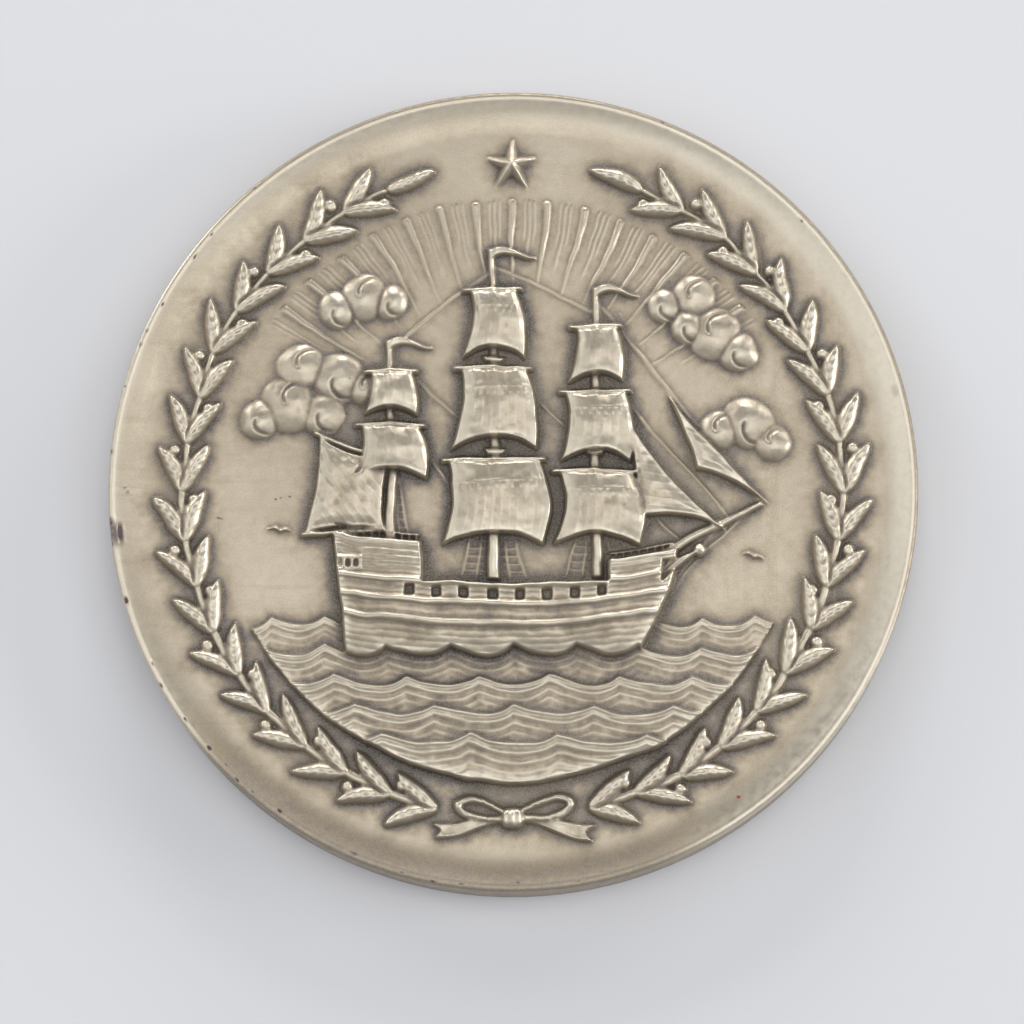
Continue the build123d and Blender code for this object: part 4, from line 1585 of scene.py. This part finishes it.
@dataclass
class Blank:
    """The struck blank without the middle of its face: border, rim, edge and reverse.

    Each wave of the crest has its share of the wobble, its number round the rim, and its phase.
    """

    sizes: MedalSizes
    face: StruckFace
    seat_radius: float = BAND_OUTER
    seat_depth: float = 0.5
    steps_round: int = 1560
    wobble: float = 0.02
    crest_waves: tuple[Triple, ...] = ((0.25, 3.0, 0.7), (0.15, 7.0, 2.1), (0.1, 16.0, 0.0))
    # Darkening of the border at the front.
    front_darkening: float = 0.42
    # Darkening of the edge wall all round.
    wall_darkening: float = 0.36
    # Painted shade on the shoulder, from the right round the back.
    shoulder_painted_shade: float = 0.4
    # Darkening of the metal towards the table.
    low_darkening: float = 0.3
    # Rubbed wear along the crest, which also paints its highlight.
    crest_wear_and_highlight: float = 0.9
    # Painted highlight on the border at the right.
    right_painted_highlight: float = 0.95
    # Painted highlight on the border's slope at the back.
    back_painted_highlight: float = 0.8
    # Painted shade on the edge wall on the left, towards the front.
    wall_painted_shade: float = 0.35
    # Where the border is darker, at the front.
    front_dark_sector: Sector = Sector(258.0, 47.0, 16.0)
    # Where the shoulder has painted shade.
    shoulder_shade_sector: Sector = Sector(55.0, 90.0, 25.0)
    # Where the edge wall has painted shade.
    wall_shade_sector: Sector = Sector(205.0, 40.0, 16.0)
    # Where the crest's bright line is taken off and the slope gets a painted highlight, at the back.
    back_highlight_sector: Sector = Sector(100.0, 55.0, 30.0)
    # Where the border has a painted highlight, at the right.
    right_highlight_sector: Sector = Sector(14.0, 88.0, 42.0)

    def _profile(self) -> Array:
        """The outline from the face's seat over the rim and down the edge to the reverse.

        Straight runs have points near their ends, so that smooth shading keeps their corners crisp.
        """
        size = self.sizes
        start = math.asin((self.seat_radius - size.field_radius) / size.hollow_round)
        hollow_centre = (size.field_radius, size.field_level + size.hollow_round)
        crest_centre = (size.crest_radius, size.rim_height - size.crest_round)
        shoulder_centre = (size.crest_radius, size.rim_height - size.shoulder_round)
        foot_centre = (size.radius - size.foot_round, size.foot_round)
        down = -math.pi / 2.0
        lip = size.reverse_radius
        recess = lip - size.reverse_depth
        return np.concatenate(
            [
                arc(hollow_centre, size.hollow_round, down + start, down + size.border_slope, 10),
                arc(crest_centre, size.crest_round, math.pi / 2.0 + size.border_slope, math.pi / 2.0, 9)[1:],
                arc(shoulder_centre, size.shoulder_round, math.pi / 2.0, 0.0, 7)[1:],
                [[size.radius, size.rim_height * share] for share in (0.75, 0.6, 0.3)],
                arc(foot_centre, size.foot_round, 0.0, down, 4),
                [[lip + 0.9, 0.0], [lip + 0.06, 0.0], [lip, 0.0], [lip - 0.04, 0.04]],
                [[recess + 0.04, size.reverse_depth - 0.04], [recess, size.reverse_depth]],
                [[recess - 0.06, size.reverse_depth], [recess * 0.6, size.reverse_depth]],
            ]
        )

    def _face_side(self, level: Array) -> Array:
        """How much of the face's wear reaches a level: 1 on the border, and 0 a little down the edge."""
        return ease((level - self.sizes.field_level + 0.6) / 0.5)

    def _rings(self) -> Array:
        """Turn the profile round the axis, sink the marks, and let the crest wander a little inwards."""
        profile = self._profile()
        turn = turns(self.steps_round)
        distance, level = profile[:, 0:1], profile[:, 1:2]
        depth = mark_channels(distance * np.cos(turn), distance * np.sin(turn))[0]
        face_side = self._face_side(level)
        sway = 0.5 + sum(size * np.sin(count * turn + phase) for size, count, phase in self.crest_waves)
        crest = ridge(distance - self.sizes.crest_radius, 0.7)
        sunk = (depth + self.wobble * sway * crest) * face_side
        inward = 0.6 * depth * face_side * ease((distance - self.sizes.crest_radius) / 0.4)
        return round_points(distance - inward, level - sunk, turn)

    def build(self, material: bpy.types.Material) -> None:
        """Build the blank: the turned profile, a seat under the face, and fans that close both poles.

        Args:
            material: Its finish.
        """
        rings = self._rings()
        round_axis = np.roll(rings, -1, axis=1) - np.roll(rings, 1, axis=1)
        normals = np.cross(np.gradient(rings, axis=0, edge_order=2), round_axis)
        normals /= np.linalg.norm(normals, axis=-1, keepdims=True)
        floor = self.sizes.field_level - self.seat_depth
        poles = [[0.0, 0.0, floor], [0.0, 0.0, self.sizes.reverse_depth]]
        seat = plain(np.concatenate([at_level(rings[0], floor), poles]), (0.0, 0.0, 1.0))
        surface = flattened(Surface(rings, normals, self._channels(rings)), seat)
        surface.normals[-1] = (0.0, 0.0, -1.0)
        first_ring = np.arange(self.steps_round)
        last_ring = first_ring + (len(rings) - 1) * self.steps_round
        seat_ring = last_ring + self.steps_round
        pole = seat_ring[-1] + 1
        quads = grid_quads(len(rings), self.steps_round, True)
        quads = np.concatenate([quads, band_quads(seat_ring, first_ring)])
        triangles = np.concatenate([fan(seat_ring, pole)[:, [1, 0, 2]], fan(last_ring, pole + 1)])
        make_piece("medal_blank", surface, quads, triangles, material)

    def _channels(self, rings: Array) -> dict[Channel, Array]:
        """Finish channels: a rubbed crest with a painted highlight, a darker front and wall, and the marks'
        stains.

        The border has a painted highlight on the right, and one on its slope at the back, where the crest's
        bright line is taken off. The shoulder has painted shade from the right round the back, the edge wall
        has painted shade on the left towards the front, and the metal darkens towards the table. The face's
        patina carries on from the seat and fades outwards, so that no step shows there.
        """
        x, y, level = rings[..., 0], rings[..., 1], rings[..., 2]
        distance = np.hypot(x, y)
        bearing = np.degrees(np.arctan2(y, x)) % 360.0
        face_side = self._face_side(level)
        stain, red = mark_channels(x, y)[1:]
        beyond_crest = distance - self.sizes.crest_radius
        border = ease((distance - self.seat_radius) / 1.4)
        wall = ease((self.sizes.rim_height - 0.2 - level) / 0.5) * (beyond_crest > 0.0)
        # Darker at the front, where the crest's bright line is also taken off.
        front = self.front_dark_sector.reach(bearing) * border
        # Painted shade on the shoulder, which also takes its wear off.
        shoulder = self.shoulder_shade_sector.reach(bearing) * ease(beyond_crest / 0.14) * face_side
        seat = self.face.read(rings[0, :, 0], rings[0, :, 1]).channels[Channel.PATINA]
        halo = seat * ridge(distance - self.seat_radius, 1.1) * face_side
        back = self.back_highlight_sector.reach(bearing)
        # The crest's wear and painted highlight, taken off at the front and the back.
        crest = self.crest_wear_and_highlight * ridge(beyond_crest - 0.1, 0.4)
        crest = crest * (1.0 - 0.85 * front) * (1.0 - 0.8 * back)
        # Painted highlight on the border at the right, and on its slope at the back.
        bright_wear_and_highlight = self.right_painted_highlight * self.right_highlight_sector.reach(bearing) * border
        bright_wear_and_highlight = np.maximum(bright_wear_and_highlight, self.back_painted_highlight * back * ridge(beyond_crest + 0.45, 0.45))
        # Darker at the front and on the edge wall, with painted shade on the shoulder.
        dull_and_shade = np.maximum(self.front_darkening * front, self.wall_darkening * wall)
        dull_and_shade = np.maximum(dull_and_shade, self.shoulder_painted_shade * shoulder)
        # Darker towards the table.
        dull_and_shade = dull_and_shade + self.low_darkening * (1.0 - ease(level / 1.2))
        # Painted shade on the edge wall on the left, towards the front.
        wall_shade = self.wall_painted_shade * wall * self.wall_shade_sector.reach(bearing)
        return {
            Channel.PATINA: dull_and_shade + halo,
            Channel.POLISH: np.maximum(crest, bright_wear_and_highlight) * (1.0 - shoulder) * face_side,
            Channel.STAIN: np.maximum(stain * face_side, wall_shade),
            Channel.RED: red * face_side,
        }


class NodeSheet:
    """A new material, with a small helper that lays out its shader nodes and joins them."""

    def __init__(self, name: str) -> None:
        """Start from an empty node tree, with the object's coordinates at hand."""
        self.material = bpy.data.materials.new(name)
        self.material.use_nodes = True
        self.tree = self.material.node_tree
        self.tree.nodes.clear()
        self.place = self.add("TexCoord").outputs["Object"]

    def add(self, kind: str, **inputs: object) -> bpy.types.Node:
        """Add a node and fill or join its inputs.

        Args:
            kind: The node's type, without the words that all shader nodes start with.
            **inputs: Values or output sockets, by input name with underscores for blanks.

        Returns:
            The new node.
        """
        node = self.tree.nodes.new(f"ShaderNode{kind}")
        for name, value in inputs.items():
            self.put(node, name.replace("_", " "), value)
        return node

    def finish(self, shader: bpy.types.Node) -> bpy.types.Material:
        """Join the shader to the output and return the material."""
        self.add("OutputMaterial", Surface=shader.outputs[0])
        return self.material

    def put(self, node: bpy.types.Node, name: str | int, value: object) -> None:
        """Fill an input with a value, or join it to an output socket."""
        if isinstance(value, Socket):
            self.tree.links.new(value, node.inputs[name])
        else:
            node.inputs[name].default_value = value

    def math(self, operation: str, first: object, second: object, clamp: bool = False) -> Socket:
        """Add a Math node and return its result."""
        node = self.add("Math")
        node.operation = operation
        node.use_clamp = clamp
        self.put(node, 0, first)
        self.put(node, 1, second)
        return node.outputs[0]

    def times(self, *factors: object) -> Socket:
        """Multiply values, from the first on."""
        return reduce(lambda product, factor: self.math("MULTIPLY", product, factor), factors)

    def plus(self, *terms: object) -> Socket:
        """Add values, from the first on."""
        return reduce(lambda total, term: self.math("ADD", total, term), terms)

    def remap(
        self, value: object, low: float, high: float, to_low: float = 0.0, to_high: float = 1.0
    ) -> Socket:
        """Add a clamped Map Range node and return its result."""
        node = self.add("MapRange")
        for place, number in enumerate((value, low, high, to_low, to_high)):
            self.put(node, place, number)
        return node.outputs[0]

    def mix(self, share: object, first: object, second: object) -> Socket:
        """Mix two colours by a share and return the result."""
        node = self.add("Mix")
        node.data_type = "RGBA"
        for place, value in ((0, share), (6, first), (7, second)):
            self.put(node, place, value)
        return node.outputs[2]

    def noise(self, vector: object, scale: float, detail: float = 3.0, roughness: float = 0.55) -> Socket:
        """Add a Noise Texture node and return its value."""
        node = self.add("TexNoise", Vector=vector, Scale=scale, Detail=detail, Roughness=roughness)
        return node.outputs["Fac"]

    def channel(self, channel: Channel) -> Socket:
        """Read one of the mesh's finish channels."""
        node = self.add("Attribute")
        node.attribute_name = channel.value
        return node.outputs["Fac"]


@dataclass(frozen=True)
class AntiqueSilver:
    """Blasted white metal with a dark patina left in the hollows and rubbed off the crests.

    Each streak has the scale of its noise along X, Y and Z, and the X in metres where it starts and is full.
    """

    bare: Colour = (0.55, 0.48, 0.375, 1.0)
    # Bright rubbed metal, which on the rim also paints highlights.
    bright_wear_and_highlight: Colour = (0.78, 0.72, 0.60, 1.0)
    tan: Colour = (0.36, 0.29, 0.205, 1.0)
    # The patina's dark tone, which on the rim also paints shade.
    dull_and_shade: Colour = (0.195, 0.168, 0.155, 1.0)
    deep: Colour = (0.040, 0.034, 0.032, 1.0)
    # Stain colour, which on the edge wall also paints shade.
    stain: Colour = (0.115, 0.080, 0.086, 1.0)
    red: Colour = (0.55, 0.02, 0.02, 1.0)
    warm: Colour = (0.48, 0.40, 0.30, 1.0)
    tan_at: float = 0.34
    dull_at: float = 0.62
    roughness: float = 0.40
    patina_roughness: float = 0.22
    grain: float = 8500.0
    grain_depth: float = 0.000012
    mottle: float = 1500.0
    mottle_depth: float = 0.00003
    cloud: float = 140.0
    streaks: tuple[tuple[Triple, float, float], ...] = (
        ((900.0, 60.0, 60.0), 0.009, 0.016),
        ((70.0, 1100.0, 70.0), -0.009, -0.016),
    )

    def material(self) -> bpy.types.Material:
        """Build the finish from the mesh's channels and noise in object coordinates.

        Returns:
            The material.
        """
        sheet = NodeSheet("antique_silver")
        grain = sheet.noise(sheet.place, self.grain, 2.0, 0.6)
        mottle = sheet.noise(sheet.place, self.mottle, 4.0, 0.6)
        cloud = sheet.noise(sheet.place, self.cloud, 3.0, 0.5)
        patina = self._patina(sheet, grain, mottle, cloud)
        metal = sheet.math("SUBTRACT", 1.0, sheet.times(patina, 0.45))
        rough = sheet.remap(patina, 0.0, 1.0, self.roughness, self.roughness + self.patina_roughness)
        rough = sheet.math("SUBTRACT", rough, sheet.times(sheet.channel(Channel.POLISH), 0.05))
        fine = sheet.add("Bump", Strength=0.55, Distance=self.grain_depth, Height=grain).outputs[0]
        broad = sheet.add("Bump", Strength=0.35, Distance=self.mottle_depth, Height=mottle, Normal=fine)
        shader = sheet.add(
            "BsdfPrincipled",
            Base_Color=self._colour(sheet, patina, grain, mottle, cloud),
            Metallic=sheet.math("SUBTRACT", metal, sheet.times(sheet.channel(Channel.STAIN), 0.7), True),
            Roughness=sheet.plus(rough, sheet.remap(mottle, 0.3, 0.7, -0.04, 0.05)),
            Normal=broad.outputs[0],
        )
        return sheet.finish(shader)

    def _patina(self, sheet: NodeSheet, grain: Socket, mottle: Socket, cloud: Socket) -> Socket:
        """Break the patina up: the channel, moved up and down by mottling where it is half strong.

        Args:
            sheet: The node sheet.
            grain: Fine noise.
            mottle: Middle noise.
            cloud: Broad noise.

        Returns:
            The patina's strength.
        """
        base = sheet.channel(Channel.PATINA)
        spread = sheet.plus(
            sheet.remap(mottle, 0.25, 0.75, -0.16, 0.16), sheet.remap(grain, 0.25, 0.75, -0.10, 0.10)
        )
        middle = sheet.times(base, sheet.math("SUBTRACT", 1.0, base), 4.0)
        amount = sheet.plus(base, sheet.times(spread, middle))
        return sheet.math("ADD", amount, sheet.remap(cloud, 0.35, 0.70, 0.0, 0.10), True)

    def _colour(
        self, sheet: NodeSheet, patina: Socket, grain: Socket, mottle: Socket, cloud: Socket
    ) -> Socket:
        """Colour the metal: bare to tan, dull and deep with patina and painted shade, then rubs, painted
        highlights, streaks and stains.

        Args:
            sheet: The node sheet.
            patina: The patina's strength.
            grain: Fine noise.
            mottle: Middle noise.
            cloud: Broad noise.

        Returns:
            The colour.
        """
        # The patina darkens the metal; on the rim it also paints shade.
        ramp = sheet.add("ValToRGB", Fac=patina)
        stops = ramp.color_ramp.elements
        stops[0].color = self.bare
        stops[1].color = self.deep
        stops.new(self.tan_at).color = self.tan
        stops.new(self.dull_at).color = self.dull_and_shade
        colour = ramp.outputs["Color"]
        across = sheet.add("SeparateXYZ", Vector=sheet.place).outputs[0]
        for scale, start, full in self.streaks:
            stretched = sheet.add("Mapping", Vector=sheet.place, Scale=scale).outputs[0]
            streak = sheet.remap(sheet.noise(stretched, 1.0, 3.0, 0.6), 0.50, 0.72, 0.0, 0.45)
            colour = sheet.mix(sheet.times(streak, sheet.remap(across, start, full)), colour, self.tan)
        colour = sheet.mix(sheet.remap(cloud, 0.40, 0.68, 0.0, 0.28), colour, self.warm)
        colour = sheet.mix(sheet.remap(grain, 0.35, 0.72, 0.0, 0.30), colour, self.bright_wear_and_highlight)
        # Wear, and the rim's painted highlights, lighten the metal.
        wear_and_highlight_share = sheet.times(sheet.channel(Channel.POLISH), sheet.remap(mottle, 0.2, 0.6, 0.45, 0.95))
        colour = sheet.mix(wear_and_highlight_share, colour, self.bright_wear_and_highlight)
        patchy = sheet.remap(mottle, 0.3, 0.55, 0.6, 1.4)
        # The marks' stains, and the wall's painted shade, darken the metal.
        stain = sheet.math("MULTIPLY", sheet.channel(Channel.STAIN), patchy, True)
        colour = sheet.mix(stain, colour, self.stain)
        return sheet.mix(sheet.remap(sheet.channel(Channel.RED), 0.3, 0.8), colour, self.red)


@dataclass(frozen=True)
class PaleTable:
    """The matt, slightly blue white of the table top."""

    colour: Colour = (0.80, 0.81, 0.845, 1.0)
    roughness: float = 0.75
    grain: float = 700.0

    def material(self) -> bpy.types.Material:
        """Build the finish: one pale colour, with a very faint bump."""
        sheet = NodeSheet("pale_table")
        grain = sheet.noise(sheet.place, self.grain)
        bump = sheet.add("Bump", Strength=0.02, Distance=0.0001, Height=grain).outputs[0]
        shader = sheet.add("BsdfPrincipled", Base_Color=self.colour, Roughness=self.roughness, Normal=bump)
        return sheet.finish(shader)


@dataclass(frozen=True)
class SoftLight:
    """One soft area light on a dome round the medal: where it hangs, and its size in metres and its power."""

    name: str
    tilt: float
    bearing: float
    size: float
    power: float
    dome_radius: float = 1.0

    def build(self) -> None:
        """Hang the light at its tilt from straight up and its bearing from +X, with its face to the medal."""
        tilt, bearing = math.radians(self.tilt), math.radians(self.bearing)
        way = Vector((math.sin(tilt) * math.cos(bearing), math.sin(tilt) * math.sin(bearing), math.cos(tilt)))
        lamp = bpy.data.lights.new(self.name, "AREA")
        lamp.shape = "SQUARE"
        lamp.size = self.size
        lamp.energy = self.power
        holder = bpy.data.objects.new(self.name, lamp)
        holder.location = way * self.dome_radius
        holder.rotation_euler = (-way).to_track_quat("-Z", "Y").to_euler()
        holder.visible_camera = False
        bpy.context.scene.collection.objects.link(holder)


@dataclass
class Studio:
    """The table, the lights and the camera."""

    lens: float = 179.57
    sensor_width: float = 36.0
    distance: float = 0.400
    elevation: float = 81.0
    azimuth: float = 6.0
    aim: Triple = (-0.00005, -0.001925, 0.0045)
    table_half: float = 1.5
    lights: tuple[SoftLight, ...] = (
        SoftLight("ceiling_panel", 0.0, 0.0, 0.6, 1.55),
        SoftLight("ceiling_right", 28.0, 0.0, 0.65, 1.45),
        SoftLight("ceiling_left", 28.0, 180.0, 0.65, 0.3),
        SoftLight("fill_left", 50.0, 180.0, 0.85, 1.8),
        SoftLight("fill_front_left", 42.0, 248.0, 0.8, 0.6),
        SoftLight("fill_front_right", 58.0, 315.0, 0.9, 0.8),
        SoftLight("window_right", 76.0, 0.0, 0.4, 3.7),
        SoftLight("window_back_right", 76.0, 45.0, 0.4, 1.9),
        SoftLight("window_back", 76.0, 90.0, 0.4, 3.7),
        SoftLight("window_back_left", 76.0, 135.0, 0.4, 2.25),
    )
    sky: Colour = (1.0, 1.0, 1.0, 1.0)
    sky_strength: float = 0.2

    def build(self) -> None:
        """Set up the table, the sky light, the soft lights and the camera."""
        self._build_table()
        world = bpy.data.worlds.new("studio_sky")
        world.use_nodes = True
        background = world.node_tree.nodes["Background"]
        background.inputs["Color"].default_value = self.sky
        background.inputs["Strength"].default_value = self.sky_strength
        bpy.context.scene.view_settings.view_transform = "Standard"
        bpy.context.scene.world = world
        for light in self.lights:
            light.build()
        self._build_camera()

    def _build_table(self) -> None:
        """Build the table top: one flat square under the medal."""
        mesh = bpy.data.meshes.new("table_top")
        half = self.table_half
        corners = [(-half, -half, 0.0), (half, -half, 0.0), (half, half, 0.0), (-half, half, 0.0)]
        mesh.from_pydata(corners, [], [(0, 1, 2, 3)])
        mesh.materials.append(PaleTable().material())
        table = bpy.data.objects.new("table_top", mesh)
        bpy.context.scene.collection.objects.link(table)

    def _build_camera(self) -> None:
        """Place the camera on its angle round the aim, with +Y of the medal upright in the picture."""
        rise, turn = math.radians(self.elevation), math.radians(self.azimuth)
        way = Vector((math.cos(rise) * math.sin(turn), -math.cos(rise) * math.cos(turn), math.sin(rise)))
        right = Vector((0.0, 1.0, 0.0)).cross(way).normalized()
        up = way.cross(right)
        matrix = Matrix((right, up, way)).transposed().to_4x4()
        matrix.translation = Vector(self.aim) + way * self.distance
        data = bpy.data.cameras.new("camera")
        data.lens = self.lens
        data.sensor_width = self.sensor_width
        data.clip_start = 0.01
        camera = bpy.data.objects.new("camera", data)
        camera.matrix_world = matrix
        bpy.context.scene.collection.objects.link(camera)
        bpy.context.scene.camera = camera


def carve_relief(sizes: MedalSizes) -> Relief:
    """Carve every motif into a new raster, from the farthest to the nearest."""
    relief = Relief()
    Sky(sizes).carve(relief)
    sea = Sea(sizes)
    lines = ShipLines(sizes)
    sea.carve_row(relief, 0)
    Rig(lines).carve(relief)
    Hull(lines).carve(relief)
    for row in range(1, sizes.wave_rows):
        sea.carve_row(relief, row)
    LaurelBorder(sizes).carve(relief)
    GuideStar(sizes).carve(relief)
    RibbonBow(sizes).carve(relief)
    return relief


def main() -> None:
    """Build the pieces in order and report each one."""
    logging.basicConfig(level=logging.INFO, format="%(message)s")
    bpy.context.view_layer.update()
    sizes = MedalSizes()
    Studio().build()
    log.info("table, lights and camera set")
    face = StruckFace(sizes, carve_relief(sizes))
    log.info("relief struck: %.2f mm at its highest", float(face.height.max()))
    silver = AntiqueSilver().material()
    Blank(sizes, face).build(silver)
    LaurelBand(sizes, face).build(silver)
    disc = SceneDisc(sizes, face)
    for quarter in Quarter:
        disc.build(quarter, silver)


if __name__ == "__main__":
    main()
